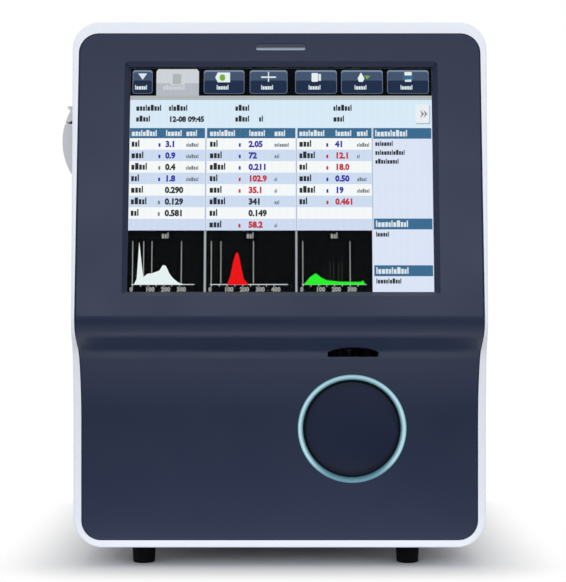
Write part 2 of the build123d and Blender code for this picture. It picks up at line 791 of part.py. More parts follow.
key_radius = ring_inner - key_gap
key_front = lower_face_y + key_recess
dish_tilt = radians(3.3)
dish_y = key_front + dish_depth - dish_radius * cos(dish_tilt)
dish_z = key_z - dish_radius * sin(dish_tilt)
key_back = lower_face_y + key_skirt
with BuildPart() as aspirate_key:
    rod((key_x, lower_face_y - 12, key_z), (0, 1, 0), key_back - lower_face_y + 12, key_radius)
    behind_front(0, key_recess, mode=Mode.INTERSECT)
    with BuildPart(mode=Mode.PRIVATE) as dish:
        with Locations((key_x, dish_y, dish_z)):
            Sphere(dish_radius)
    with BuildPart(mode=Mode.PRIVATE) as dish_cut:
        rod((key_x, lower_face_y - 12, key_z), (0, 1, 0), 24, key_radius - 2.2)
        add(dish.part, mode=Mode.INTERSECT)
    add(dish_cut.part, mode=Mode.SUBTRACT)
    rod((key_x, key_front + dish_depth + key_shell, key_z), (0, 1, 0), 20, key_radius - key_shell,
        Mode.SUBTRACT)
    rod((key_x, key_front + dish_depth + 1, key_z), (0, 1, 0),
        key_floor - 2 - key_travel - key_front - dish_depth - 1, 3)
write(aspirate_key, "aspirate_key")


def stepper(corner, axis, length, bore=0.0):
    """Square stepper motor with chamfered corners, from the middle of its mounting face."""
    with BuildSketch(Plane(corner, z_dir=axis)) as face:
        Rectangle(motor_side, motor_side)
        chamfer(face.vertices(), 3)
        if bore:
            Circle(bore, mode=Mode.SUBTRACT)
    extrude(to_extrude=face.sketch, amount=length)


# Guide rail on the divider, and the belt drive along it
with BuildPart() as guide_rail:
    with BuildSketch(Plane.XZ.offset(-rail_front)):
        with Locations((divider_right + rail_depth / 2, rail_z)):
            Rectangle(rail_depth, rail_height)
        for side in (-1, 1):
            with Locations((divider_right + rail_depth - 2.2, rail_z + side * rail_height / 2)):
                Circle(0.8, mode=Mode.SUBTRACT)
    extrude(amount=-(rail_rear - rail_front))
write(guide_rail, "guide_rail")

belt_inner = pulley_radius + 0.3
belt_outer = belt_inner + belt_thickness
belt_length = pulley_rear - idler_y
with BuildPart() as drive_belt:
    with BuildSketch(Plane.YZ.offset(belt_x - belt_width / 2)):
        with Locations(((pulley_rear + idler_y) / 2, belt_z)):
            SlotCenterToCenter(belt_length, 2 * belt_outer)
            SlotCenterToCenter(belt_length, 2 * belt_inner, mode=Mode.SUBTRACT)
    extrude(amount=belt_width)
write(drive_belt, "drive_belt")

pulley_teeth = 20


def pulley_body(y):
    """Toothed belt pulley with a flange at each end."""
    low_x = belt_x - belt_width / 2 - 0.4
    high_x = belt_x + belt_width / 2 + 0.4
    with BuildSketch(Plane.YZ.offset(low_x)) as teeth:
        with Locations((y, belt_z)):
            Circle(pulley_radius)
            with PolarLocations(pulley_radius, pulley_teeth):
                Rectangle(1.2, 0.9, mode=Mode.SUBTRACT)
    extrude(to_extrude=teeth.sketch, amount=high_x - low_x)
    for x in (low_x - 0.8, high_x):
        rod((x, y, belt_z), (1, 0, 0), 0.8, belt_outer + 0.6)


with BuildPart() as idler_pulley:
    pulley_body(idler_y)
    rod((divider_x, idler_y, belt_z), (1, 0, 0), 20, 1.5 + fit, Mode.SUBTRACT)
write(idler_pulley, "idler_pulley")

with BuildPart() as drive_pulley:
    pulley_body(pulley_rear)
    rod((divider_x - 10, pulley_rear, belt_z), (1, 0, 0), belt_x - divider_x + 13, shaft_diameter / 2)
write(drive_pulley, "drive_pulley")

with BuildPart() as drive_motor:
    stepper((divider_x, pulley_rear, belt_z), (-1, 0, 0), motor_length)
    rod((divider_x, pulley_rear, belt_z), (-1, 0, 0), 12, shaft_diameter / 2 + fit, Mode.SUBTRACT)
write(drive_motor, "drive_motor")

# Carriage on the rail, with the flanges that hold the lift screw and its rods
carriage_front = carriage_y - carriage_width / 2
carriage_back = carriage_y + carriage_width / 2
flange_end = screw_x + motor_side / 2
rod_spots = [(rod_x, carriage_y + side * rod_spacing / 2) for side in (-1, 1)]
with BuildPart() as carriage:
    block((carriage_x, carriage_front, carriage_low), (carriage_x + carriage_sheet, carriage_back, carriage_high))
    for z in (carriage_low, carriage_high - flange_thickness):
        block((carriage_x, carriage_front, z), (flange_end, carriage_back, z + flange_thickness))
        rod((screw_x, carriage_y, z), (0, 0, 1), flange_thickness, shaft_diameter / 2 + fit, Mode.SUBTRACT)
        for x, y in rod_spots:
            rod((x, y, z), (0, 0, 1), flange_thickness, rod_diameter / 2 + fit, Mode.SUBTRACT)
    # Slide block round the rail
    block((divider_right + 1.5, carriage_front, rail_z - 11), (carriage_x, carriage_back, rail_z + 11))
    block((divider_right, carriage_front, rail_z - rail_height / 2 - slide_clearance),
          (divider_right + rail_depth + slide_clearance, carriage_back, rail_z + rail_height / 2 + slide_clearance),
          Mode.SUBTRACT)
    # Belt clamp on the lower run
    block((belt_x - belt_width / 2 - 0.8, carriage_back - 8, belt_z - belt_outer - 3),
          (carriage_x, carriage_back, belt_z - belt_inner + 3))
    block((belt_x - belt_width / 2 - 1, carriage_back - 8, belt_z - belt_outer - 0.3),
          (belt_x + belt_width / 2 + 0.3, carriage_back, belt_z - belt_inner + 0.3), Mode.SUBTRACT)
    # Tongue of the probe wiper
    block((port_x - 5, carriage_front - 7, carriage_low),
          (port_x + 5, carriage_front, carriage_low + flange_thickness))
write(carriage, "carriage")

with BuildPart() as lift_motor:
    stepper((screw_x, carriage_y, carriage_high), (0, 0, 1), motor_length)
    rod((screw_x, carriage_y, carriage_high), (0, 0, 1), 9, shaft_diameter / 2 + fit, Mode.SUBTRACT)
write(lift_motor, "lift_motor")

with BuildPart() as lift_screw:
    rod((screw_x, carriage_y, carriage_low), (0, 0, 1), carriage_high + 8 - carriage_low, shaft_diameter / 2)
write(lift_screw, "lift_screw")

with BuildPart() as guide_rods:
    for x, y in rod_spots:
        rod((x, y, carriage_low), (0, 0, 1), carriage_high - carriage_low, rod_diameter / 2)
write(guide_rods, "guide_rods")

# Probe arm on the screw and rods, with the probe in its tip
arm_top = arm_z + arm_height
arm_front = carriage_y - rod_spacing / 2 - rod_diameter / 2 - 2
with BuildPart() as probe_arm:
    block((rod_x - rod_diameter / 2 - 1.5, arm_front, arm_z),
          (screw_x + shaft_diameter / 2 + 5, carriage_y + rod_spacing / 2 + rod_diameter / 2 + 2, arm_top))
    fillet(probe_arm.edges().filter_by(Axis.Z), 2)
    block((port_x - 3, probe_y, arm_top - 6), (screw_x + shaft_diameter / 2 + 5, arm_front + 3, arm_top))
    rod((port_x, probe_y, arm_top - 6), (0, 0, 1), 6, 3)
    rod((screw_x, carriage_y, arm_z), (0, 0, 1), arm_height, shaft_diameter / 2 + fit, Mode.SUBTRACT)
    for x, y in rod_spots:
        rod((x, y, arm_z), (0, 0, 1), arm_height, rod_diameter / 2 + fit, Mode.SUBTRACT)
    rod((port_x, probe_y, arm_z), (0, 0, 1), arm_height, probe_diameter / 2 + fit, Mode.SUBTRACT)
write(probe_arm, "probe_arm")

with BuildPart() as sample_probe:
    rod((port_x, probe_y, probe_tip), (0, 0, 1), arm_top + 8 - probe_tip, probe_diameter / 2)
    rod((port_x, probe_y, arm_top), (0, 0, 1), 3, 2.4)
    rod((port_x, probe_y, probe_tip), (0, 0, 1), arm_top + 8 - probe_tip, 0.45, Mode.SUBTRACT)
write(sample_probe, "sample_probe")

with BuildPart() as probe_wiper:
    block((port_x - 5, probe_y - 5.5, carriage_low + 1), (port_x + 5, probe_y + 5.5, carriage_low + 9))
    block((port_x - 5, probe_y, carriage_low + flange_thickness),
          (port_x + 5, carriage_front - 0.5, carriage_low + flange_thickness + 3))
    fillet(probe_wiper.edges().filter_by(Axis.Z).group_by(Axis.Y)[0], 2)
    rod((port_x, probe_y, carriage_low), (0, 0, 1), 12, probe_diameter / 2 + 0.6, Mode.SUBTRACT)
write(probe_wiper, "probe_wiper")

# Counting baths on a bracket from the divider
stem_radius = 4.0
bath_spots = [(port_x, white_bath_y), (port_x, red_bath_y)]
with BuildPart() as bath_bracket:
    block((divider_right, white_bath_y - 18, bath_floor - 2), (port_x + 16, red_bath_y + 18, bath_floor))
    block((divider_right, white_bath_y - 18, bath_floor - 20), (divider_right + 2, red_bath_y + 18, bath_floor))
    for x, y in bath_spots:
        rod((x, y, bath_floor - 4), (0, 0, 1), 6, stem_radius + 0.2, Mode.SUBTRACT)
    fillet(bath_bracket.edges().filter_by(Axis.Z).group_by(Axis.X)[-1], 6)
write(bath_bracket, "bath_bracket")

with BuildPart() as bath_cups:
    for x, y in bath_spots:
        rod((x, y, bath_floor), (0, 0, 1), bath_top - bath_floor, bath_outer / 2)
        rod((x, y, bath_floor), (0, 0, -1), 12, stem_radius)
        with Locations((x, y, bath_floor + bath_bottom)):
            Cone(stem_radius / 2, bath_inner / 2, 6, align=(Align.CENTER, Align.CENTER, Align.MIN),
                 mode=Mode.SUBTRACT)
        rod((x, y, bath_floor + bath_bottom + 6), (0, 0, 1), bath_top - bath_floor, bath_inner / 2,
            Mode.SUBTRACT)
        rod((x, y, bath_floor - 12), (0, 0, 1), 30, 1.2, Mode.SUBTRACT)
        rod((x - bath_outer / 2 + 0.5, y, bath_floor + 5), (-1, 0, 0), 6, 2.4)
write(bath_cups, "bath_cups")

# Syringes: bracket, barrels with their caps, plungers with their nuts, screws and motors
syringe_rows = [
    ("diluent", syringe_front_y, diluent_bore),
    ("sample", syringe_front_y + syringe_pitch, sample_bore),
]
nut_z = 92.0
nut_height = 10.0
drive_x = syringe_x + screw_offset
motor_top = chassis_top + motor_length
screw_radius = 3.0
shelf_thickness = 4.0
bracket_front = syringe_front_y - motor_side / 2 - 2
bracket_back = syringe_front_y + syringe_pitch + motor_side / 2 + 2
plate_right = bracket_x + bracket_plate
barrel_base = shelf_z + shelf_thickness
cap_z = barrel_base + barrel_length
cap_height = 12.0
with BuildPart() as syringe_bracket:
    block((bracket_x, bracket_front, chassis_top), (plate_right, bracket_back, bracket_top))
    block((plate_right, bracket_front, shelf_z), (drive_x + 8, bracket_back, barrel_base))
    block((plate_right - 14, bracket_front + 20, chassis_top), (plate_right, bracket_back, chassis_top + 2))
    fillet(syringe_bracket.edges().filter_by(Axis.X).group_by(Axis.Z)[-1], 8)
    for name, y, bore in syringe_rows:
        rod((syringe_x, y, shelf_z), (0, 0, 1), shelf_thickness, plunger_rod + 1, Mode.SUBTRACT)
        rod((drive_x, y, shelf_z), (0, 0, 1), shelf_thickness, screw_radius + fit, Mode.SUBTRACT)
write(syringe_bracket, "syringe_bracket")

with BuildPart() as syringe_barrels:
    for name, y, bore in syringe_rows:
        outer = bore / 2 + barrel_wall
        rod((syringe_x, y, barrel_base), (0, 0, 1), barrel_length, outer)
        rod((syringe_x, y, barrel_base), (0, 0, 1), 5, outer + 2)
        block((plate_right, y - 10, cap_z), (syringe_x + 12, y + 10, cap_z + cap_height))
        rod((syringe_x, y, cap_z + cap_height), (0, 0, 1), 7, 2.4)
        rod((syringe_x, y, barrel_base), (0, 0, 1), barrel_length - 1, bore / 2, Mode.SUBTRACT)
write(syringe_barrels, "syringe_barrels")

for name, y, bore in syringe_rows:
    rod_radius = min(plunger_rod, bore / 2 - 0.6)
    piston_z = barrel_base + plunger_travel + 8
    with BuildPart() as plunger:
        block((plate_right + 0.3, y - 8, nut_z), (drive_x + 7, y + 8, nut_z + nut_height))
        fillet(plunger.edges().filter_by(Axis.Z).group_by(Axis.X)[-1], 5)
        rod((drive_x, y, nut_z), (0, 0, 1), nut_height, screw_radius + fit, Mode.SUBTRACT)
        rod((syringe_x, y, nut_z + nut_height - 1), (0, 0, 1), piston_z + 1 - nut_z - nut_height, rod_radius)
        rod((syringe_x, y, piston_z), (0, 0, 1), 6, bore / 2 - fit)
    write(plunger, f"{name}_plunger")
    with BuildPart() as drive_screw:
        rod((drive_x, y, motor_top - 8), (0, 0, 1), barrel_base - motor_top + 8, screw_radius)
    write(drive_screw, f"{name}_screw")

with BuildPart() as syringe_motors:
    for name, y, bore in syringe_rows:
        stepper((drive_x, y, chassis_top), (0, 0, 1), motor_length)
        rod((drive_x, y, motor_top), (0, 0, -1), 9, screw_radius + fit, Mode.SUBTRACT)
write(syringe_motors, "syringe_motors")

# Valve block with its valves
manifold_right = divider_right + manifold_x
valve_rows = 5
valve_ys = (manifold_front + 22, manifold_rear - 22)
with BuildPart() as valve_manifold:
    block((divider_right, manifold_front, manifold_low), (manifold_right, manifold_rear, manifold_high))
    chamfer(valve_manifold.edges().filter_by(Axis.X), 2)
    for i in range(valve_rows):
        z = manifold_low + 15 + i * valve_pitch
        rod((divider_right + manifold_x / 2, manifold_front, z), (0, -1, 0), 7, 2.4)
write(valve_manifold, "valve_manifold")

with BuildPart() as solenoid_valves:
    for y in valve_ys:
        for i in range(valve_rows):
            z = manifold_low + 15 + i * valve_pitch
            block((manifold_right, y - valve_side / 2, z - valve_side / 2),
                  (manifold_right + 10, y + valve_side / 2, z + valve_side / 2))
            rod((manifold_right + 10, y, z), (1, 0, 0), 26, valve_side / 2 - 1.5)
            block((manifold_right + 36, y - 5, z - 4), (manifold_right + 40, y + 5, z + 4))
write(solenoid_valves, "solenoid_valves")

with BuildPart() as diaphragm_pumps:
    for x in pump_spots:
        block((x - 18, pump_front, chassis_top), (x + 18, pump_front + 30, chassis_top + 54))
        fillet(diaphragm_pumps.edges().filter_by(Axis.Y).group_by(Axis.Z)[-1], 6)
        rod((x, pump_front + 30, chassis_top + 24), (0, 1, 0), pump_length - 22, 15)
        for side in (-1, 1):
            rod((x + side * 8, pump_front, chassis_top + 40), (0, -1, 0), 8, 2.4)
write(diaphragm_pumps, "diaphragm_pumps")

chamber_y = 0.0
with BuildPart() as vacuum_chamber:
    rod((chamber_x, chamber_y, chassis_top), (0, 0, 1), 96, 24)
    fillet(vacuum_chamber.edges().filter_by(GeomType.CIRCLE).group_by(Axis.Z)[-1], 10)
    rod((chamber_x, chamber_y, chassis_top), (0, 0, 1), 8, 28)
    for side in (-1, 1):
        rod((chamber_x + side * 9, chamber_y, chassis_top + 90), (0, 0, 1), 14, 2.4)
write(vacuum_chamber, "vacuum_chamber")

# Hoses between cups, syringes, valves, pumps and rear fittings
nipple_x = divider_right + manifold_x / 2
nipple_y = manifold_front - 7
nipple_z = [manifold_low + 15 + i * valve_pitch for i in range(3)]
cup_port_x = port_x - bath_outer / 2 - 5.5
cup_port_z = bath_floor + 5
run_x = cup_port_x - 7
head_top = cap_z + cap_height + 7
hose_bend = 5.0
hose_rear = -8.0
routes = [
    [(cup_port_x, red_bath_y, cup_port_z), (run_x, red_bath_y, cup_port_z),
     (run_x, red_bath_y + 30, cup_port_z + 8), (nipple_x, nipple_y - 20, nipple_z[0]),
     (nipple_x, nipple_y, nipple_z[0])],
    [(cup_port_x, white_bath_y, cup_port_z), (run_x, white_bath_y, cup_port_z),
     (run_x, white_bath_y + 50, cup_port_z + 20), (nipple_x, nipple_y - 24, nipple_z[1]),
     (nipple_x, nipple_y, nipple_z[1])],
    [(syringe_x, syringe_front_y, head_top), (syringe_x, syringe_front_y, head_top + 24),
     (syringe_x, hose_rear - 12, head_top + 22), (nipple_x + 32, hose_rear, nipple_z[2] + 16),
     (nipple_x, hose_rear, nipple_z[2]), (nipple_x, nipple_y, nipple_z[2])],
]
with BuildPart() as tubing:
    for points in routes:
        with BuildLine() as route:
            FilletPolyline(*points, radius=hose_bend)
        with BuildSketch(Plane(route.line @ 0, z_dir=route.line % 0)) as section:
            Circle(tube_diameter / 2)
        sweep(sections=section.sketch, path=route.line)
write(tubing, "tubing")

# Electrics on the left
with BuildPart() as power_supply:
    block((supply_x, supply_front, chassis_top),
          (supply_x + supply_width, supply_front + supply_length, chassis_top + supply_height))
    chamfer(power_supply.edges().filter_by(Axis.Y).group_by(Axis.Z)[-1], 1.5)
    with Locations((supply_x + supply_width / 2, supply_front + supply_length / 2,
                    chassis_top + supply_height)):
        with GridLocations(0, 9, 1, 14):
            Box(60, 4, 3, mode=Mode.SUBTRACT)
write(power_supply, "power_supply")

board_right = divider_x - 10
with BuildPart() as main_board:
    block((board_right - 1.6, -112, 58), (board_right, 122, 262))
    for low_y, high_y, low_z, high_z, height in (
        (-90, -50, 190, 230, 3), (-20, 20, 90, 130, 9), (50, 70, 80, 150, 8), (-100, -92, 80, 150, 8),
        (80, 110, 190, 246, 12), (-60, -30, 66, 84, 14),
    ):
        block((board_right - 1.6 - height, low_y, low_z), (board_right - 1.6, high_y, high_z))
    for i in range(6):
        block((board_right - 20, -20 + i * 7.4, 90), (board_right - 10, -17 + i * 7.4, 130))
    for i in range(4):
        rod((board_right - 1.6, 40 + i * 14, 176), (-1, 0, 0), 14, 5)
write(main_board, "main_board")

# Fan behind the rear panel's grille
fan_front = cover_back - fan_depth
with BuildPart() as fan_housing:
    with BuildSketch(front_plane(fan_front)):
        with Locations((fan_x, fan_z)):
            RectangleRounded(fan_side, fan_side, 4)
            Circle(fan_bore / 2, mode=Mode.SUBTRACT)
            with GridLocations(fan_side - 8.5, fan_side - 8.5, 2, 2):
                Circle(2.1, mode=Mode.SUBTRACT)
    extrude(amount=-fan_depth)
    rod((fan_x, fan_front, fan_z), (0, 1, 0), 3, fan_hub)
    with Locations((fan_x, fan_front + 1.5, fan_z)):
        with PolarLocations(0, 1):
            Box(fan_bore + 2, 3, 4)
            Box(4, 3, fan_bore + 2)
    rod((fan_x, fan_front + 2, fan_z), (0, 1, 0), 12, 2)
write(fan_housing, "fan_housing")

rotor_front = fan_front + 4
rotor_depth = 18.0
blade_length = fan_bore / 2 - fan_tip - fan_hub
with BuildPart() as fan_rotor:
    rod((fan_x, rotor_front, fan_z), (0, 1, 0), rotor_depth, fan_hub)
    for i in range(blade_count):
        turn = 2 * pi * i / blade_count
        out = Vector(cos(turn), 0, sin(turn))
        with BuildSketch(Plane(Vector(fan_x, rotor_front + rotor_depth / 2, fan_z) + out * (fan_hub - 1),
                               x_dir=(0, 1, 0), z_dir=out)) as blade:
            with BuildLine():
                camber = ThreePointArc((-7, -6), (0.8, -1), (7, 6))
                offset(camber, amount=0.7)
            make_face()
        extrude(to_extrude=blade.sketch, amount=blade_length + 1)
    rod((fan_x, rotor_front, fan_z), (0, 1, 0), 11, 2 + fit, Mode.SUBTRACT)
write(fan_rotor, "fan_rotor")

# Power inlet with the rocker switch above its socket
socket_z = inlet_z - 12
rocker_z = inlet_z + 14
rocker_y = rear_y - 4
with BuildPart() as power_inlet:
    block((inlet_x - inlet_width / 2 + 2.2, rear_y - 26, inlet_z - inlet_height / 2 + 2.2),
          (inlet_x + inlet_width / 2 - 2.2, rear_y, inlet_z + inlet_height / 2 - 2.2))
    block((inlet_x - inlet_width / 2, rear_y, inlet_z - inlet_height / 2),
          (inlet_x + inlet_width / 2, rear_y + 2.5, inlet_z + inlet_height / 2))
    fillet(power_inlet.edges().filter_by(Axis.Y).group_by(Axis.Y)[-1], 2)
    with BuildSketch(front_plane(rear_y + 2.5)):
        with Locations((inlet_x, socket_z)):
            Rectangle(24, 16)
    extrude(amount=18, mode=Mode.SUBTRACT)
    with BuildSketch(front_plane(rear_y + 2.5)):
        with Locations((inlet_x, rocker_z)):
            Rectangle(rocker_width + 0.6, rocker_height + 1.2)
    extrude(amount=20, mode=Mode.SUBTRACT)
    for pin_x, pin_z in ((-7, -2), (0, 2), (7, -2)):
        block((inlet_x + pin_x - 1, rear_y - 16, socket_z + pin_z - 2),
              (inlet_x + pin_x + 1, rear_y - 3, socket_z + pin_z + 2))
write(power_inlet, "power_inlet")

with BuildPart() as power_switch:
    with BuildSketch(Plane.YZ.offset(inlet_x - rocker_width / 2)):
        with BuildLine():
            half = rocker_height / 2 - 0.4
            ThreePointArc((rocker_y - 4, rocker_z - half), (rocker_y - 10, rocker_z), (rocker_y - 4, rocker_z + half))
            Polyline((rocker_y - 4, rocker_z + half), (rocker_y + 6, rocker_z + half - 0.6),
                     (rocker_y + 4.4, rocker_z), (rocker_y + 6, rocker_z - half + 0.6),
                     (rocker_y - 4, rocker_z - half))
        make_face()
    extrude(amount=rocker_width)
    rod((inlet_x - rocker_width / 2 - 0.2, rocker_y, rocker_z), (1, 0, 0), rocker_width + 0.4, 1.5)
power_switch.part = power_switch.part.rotate(Axis((inlet_x, rocker_y, rocker_z), (1, 0, 0)), -rocker_throw)
write(power_switch, "power_switch")

with BuildPart() as data_ports:
    for x in usb_spots:
        block((x - usb_width / 2, rear_y - 16, port_block_z - usb_height / 2),
              (x + usb_width / 2, rear_y + 0.5, port_block_z + usb_height / 2))
        block((x - usb_width / 2 + 0.6, rear_y - 15, port_block_z - usb_height / 2 + 0.6),
              (x + usb_width / 2 - 0.6, rear_y + 0.5, port_block_z + usb_height / 2 - 0.6), Mode.SUBTRACT)
        block((x - usb_width / 2 + 0.6, rear_y - 15, port_block_z - 5.5), (x - 0.6, rear_y - 2, port_block_z + 5.5))
    block((lan_x - lan_width / 2, rear_y - 18, port_block_z - lan_height / 2),
          (lan_x + lan_width / 2, rear_y + 0.5, port_block_z + lan_height / 2))
    block((lan_x - 6, rear_y - 13, port_block_z - 4), (lan_x + 6, rear_y + 0.5, port_block_z + 3),
          Mode.SUBTRACT)
    block((lan_x - 3, rear_y - 13, port_block_z + 2.9), (lan_x + 3, rear_y + 0.5, port_block_z + 5),
          Mode.SUBTRACT)
write(data_ports, "data_ports")

with BuildPart() as fluid_fittings:
    for x in fitting_spots:
        rod((x, cover_back - 12, fitting_z), (0, 1, 0), rear_sheet + 12 + fitting_reach, 2.6)
        rod((x, cover_back - 4, fitting_z), (0, 1, 0), rear_sheet + 8, 4)
        rod((x, cover_back, fitting_z), (0, -1, 0), 4, 7)
        with BuildSketch(front_plane(rear_y)) as nut:
            with Locations((x, fitting_z)):
                RegularPolygon(7.5, 6)
        extrude(to_extrude=nut.sketch, amount=-4)
        rod((x, cover_back - 12, fitting_z), (0, 1, 0), rear_sheet + 12 + fitting_reach, 1.4, Mode.SUBTRACT)
    chamfer(fluid_fittings.edges().filter_by(GeomType.CIRCLE).group_by(Axis.Y)[-1].group_by(SortBy.RADIUS)[-1], 0.5)
write(fluid_fittings, "fluid_fittings")

# Recorder: housing with print head, bulged door, release lever, platen roller and paper
cavity_back = -half_width + recorder_depth
flange_rim = 3.0
flange_proud = 1.5
head_x = pivot_x + platen_radius + 0.3
with BuildPart() as recorder_housing:
    block((-half_width, recorder_front - recorder_wall, recorder_low - recorder_wall),
          (cavity_back, recorder_back + recorder_wall, recorder_high + recorder_wall))
    block((-half_width - flange_proud, recorder_front - recorder_wall - flange_rim,
           recorder_low - recorder_wall - flange_rim),
          (-half_width, recorder_back + recorder_wall + flange_rim, recorder_high + recorder_wall + flange_rim))
    fillet(recorder_housing.edges().filter_by(Axis.X).group_by(Axis.X)[0], 3)
    block((-half_width - 5, recorder_front, recorder_low),
          (cavity_back - recorder_wall, recorder_back, recorder_high), Mode.SUBTRACT)
    # Print head behind the platen, on a bridge from the back wall
    block((head_x, recorder_y - 29, platen_z - 4), (head_x + 7, recorder_y + 29, platen_z + 12))
    block((head_x + 5, recorder_y - 29, platen_z + 8), (cavity_back - 1, recorder_y + 29, platen_z + 12))
    # Pin holes of the door and the lever
    for x, z in ((pivot_x, pivot_z), (lever_pivot_x, lever_pivot_z)):
        rod((x, recorder_front - recorder_wall, z), (0, 1, 0), recorder_width + 2 * recorder_wall, 1.5 + fit,
            Mode.SUBTRACT)
write(recorder_housing, "recorder_housing")


def bulge_x_at(z, radius=bulge_radius):
    """X of the recorder's bulged front at height z."""
    return bulge_x - sqrt(radius ** 2 - (z - bulge_z) ** 2)


flap_gap = 0.3
flap_front = recorder_front + flap_gap
flap_length = recorder_width - 2 * flap_gap
cheek = 2.0
door_low = pivot_z - knuckle
with BuildPart() as recorder_door:
    with BuildSketch(front_plane(flap_front)) as shell_face:
        with Locations((bulge_x, bulge_z)):
            Circle(bulge_radius)
            Circle(bulge_radius - door_shell, mode=Mode.SUBTRACT)
        with Locations((bulge_x - bulge_radius, (door_low + door_top) / 2)):
            Rectangle(bulge_radius, door_top - door_low, mode=Mode.INTERSECT)
        with Locations((pivot_x, pivot_z)):
            Circle(knuckle)
    extrude(to_extrude=shell_face.sketch, amount=-flap_length)
    # End cheeks that close the bulge and hold the platen
    with BuildSketch(front_plane(flap_front)) as cheek_face:
        with BuildLine():
            bow = ThreePointArc((bulge_x_at(door_low), door_low), (bulge_x_at((door_low + door_top) / 2),
                                (door_low + door_top) / 2), (bulge_x_at(door_top), door_top))
            Polyline(bow @ 1, (pivot_x + 3, door_top - 1), (pivot_x + 3, platen_z - 6),
                     (pivot_x, pivot_z), bow @ 0)
        make_face()
    extrude(to_extrude=cheek_face.sketch, amount=-cheek)
    add(Pos(0, flap_length - cheek, 0) * extrude(to_extrude=cheek_face.sketch, amount=-cheek,
                                                 mode=Mode.PRIVATE))
    for y, way in ((flap_front + 3, -1), (flap_front + flap_length - 3, 1)):
        rod((pivot_x, y, pivot_z), (0, way, 0), 3 + flap_gap + recorder_wall - 0.2, 1.5)
    rod((pivot_x, flap_front - 1, platen_z), (0, 1, 0), flap_length + 2, 1.5 + fit, Mode.SUBTRACT)
write(recorder_door, "recorder_door")

lever_low = door_top + 1.0
with BuildPart() as recorder_lever:
    with BuildSketch(front_plane(flap_front)):
        with BuildLine():
            bow = ThreePointArc((bulge_x_at(lever_low), lever_low),
                                (bulge_x_at((lever_low + hook_z - 3) / 2), (lever_low + hook_z - 3) / 2),
                                (bulge_x_at(hook_z - 3), hook_z - 3))
            Polyline(bow @ 1, (hook_x, hook_z - 1.5), (hook_x, hook_z), (lever_pivot_x, hook_z),
                     (lever_pivot_x + 3, lever_pivot_z), (lever_pivot_x, lever_pivot_z - 3),
                     (bulge_x_at(lever_low) + door_shell, lever_low), bow @ 0)
        make_face()
    extrude(amount=-flap_length)
    for y, way in ((flap_front + 3, -1), (flap_front + flap_length - 3, 1)):
        rod((lever_pivot_x, y, lever_pivot_z), (0, way, 0), 3 + flap_gap + recorder_wall - 0.2, 1.5)
write(recorder_lever, "recorder_lever")

with BuildPart() as platen_roller:
    rod((pivot_x, flap_front + cheek + 0.4, platen_z), (0, 1, 0), flap_length - 2 * cheek - 0.8, platen_radius)
    rod((pivot_x, flap_front + 0.1, platen_z), (0, 1, 0), flap_length - 0.2, 1.5)
write(platen_roller, "platen_roller")

roll_x = cavity_back - recorder_wall - roll_radius - 1
roll_z = recorder_low + roll_radius
with BuildPart() as paper_roll:
    rod((roll_x, recorder_y - roll_width / 2, roll_z), (0, 1, 0), roll_width, roll_radius)
    rod((roll_x, recorder_y - roll_width / 2, roll_z), (0, 1, 0), roll_width, roll_core, Mode.SUBTRACT)
write(paper_roll, "paper_roll")
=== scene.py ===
# Benchtop blood cell analyzer: camera, studio, finishes, then the pieces that dress the model.
import bpy, bmesh
from math import cos, sin, pi, radians
from mathutils import Matrix, Vector


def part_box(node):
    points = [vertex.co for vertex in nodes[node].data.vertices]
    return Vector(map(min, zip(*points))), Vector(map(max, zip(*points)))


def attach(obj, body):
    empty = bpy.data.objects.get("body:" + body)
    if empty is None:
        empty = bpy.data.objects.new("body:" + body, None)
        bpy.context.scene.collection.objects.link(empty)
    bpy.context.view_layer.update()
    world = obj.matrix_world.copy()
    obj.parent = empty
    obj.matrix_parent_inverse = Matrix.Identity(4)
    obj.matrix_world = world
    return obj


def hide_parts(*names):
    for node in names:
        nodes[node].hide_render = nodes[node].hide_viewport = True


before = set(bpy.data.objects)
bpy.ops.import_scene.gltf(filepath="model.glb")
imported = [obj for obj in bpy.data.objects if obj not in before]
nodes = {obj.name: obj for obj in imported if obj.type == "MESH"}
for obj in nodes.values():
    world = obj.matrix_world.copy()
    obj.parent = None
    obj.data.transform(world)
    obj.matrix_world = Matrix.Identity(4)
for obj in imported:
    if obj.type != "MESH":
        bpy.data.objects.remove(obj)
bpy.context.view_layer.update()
print("model loaded:", len(nodes), "nodes")

mm = 0.001


# the camera looks straight at the front
shot = {
    "place": (2.4 * mm, -1317 * mm, 200.3 * mm),  # level with the middle of the housing
    "lens": 97.6,
    "sensor": 36,       # on the image's long, upright side
    "nearest": 0.05,    # nothing closer than this is drawn
}
cameraData = bpy.data.cameras.new("camera")
cameraData.lens = shot["lens"]
cameraData.sensor_fit = "VERTICAL"
cameraData.sensor_height = shot["sensor"]
cameraData.clip_start = shot["nearest"]
camera = bpy.data.objects.new("camera", cameraData)
camera.location = shot["place"]
camera.rotation_euler = (radians(90), 0, 0)
bpy.context.scene.collection.objects.link(camera)
bpy.context.scene.camera = camera
bpy.context.scene.view_settings.view_transform = "Standard"
print("camera set")


# small helpers for colours, nodes and meshes
def linear(hexColour):
    value = hexColour.lstrip("#")
    channels = [int(value[i:i + 2], 16) / 255 for i in (0, 2, 4)]
    return tuple(c / 12.92 if c <= 0.04045 else ((c + 0.055) / 1.055) ** 2.4 for c in channels) + (1.0,)


def shaded(colour, share):
    return tuple(c * share for c in colour[:3]) + (1,)


def perMm(size):
    return 1 / (size * mm)  # a texture scale from the size of one feature


def addNode(tree, kind, settings=None, links=None):
    node = tree.nodes.new("ShaderNode" + kind)
    for key, value in (settings or {}).items():
        if isinstance(key, int) or key in node.inputs:
            node.inputs[key].default_value = value
        else:
            setattr(node, key, value)
    for key, socket in (links or {}).items():
        tree.links.new(socket, node.inputs[key])
    return node


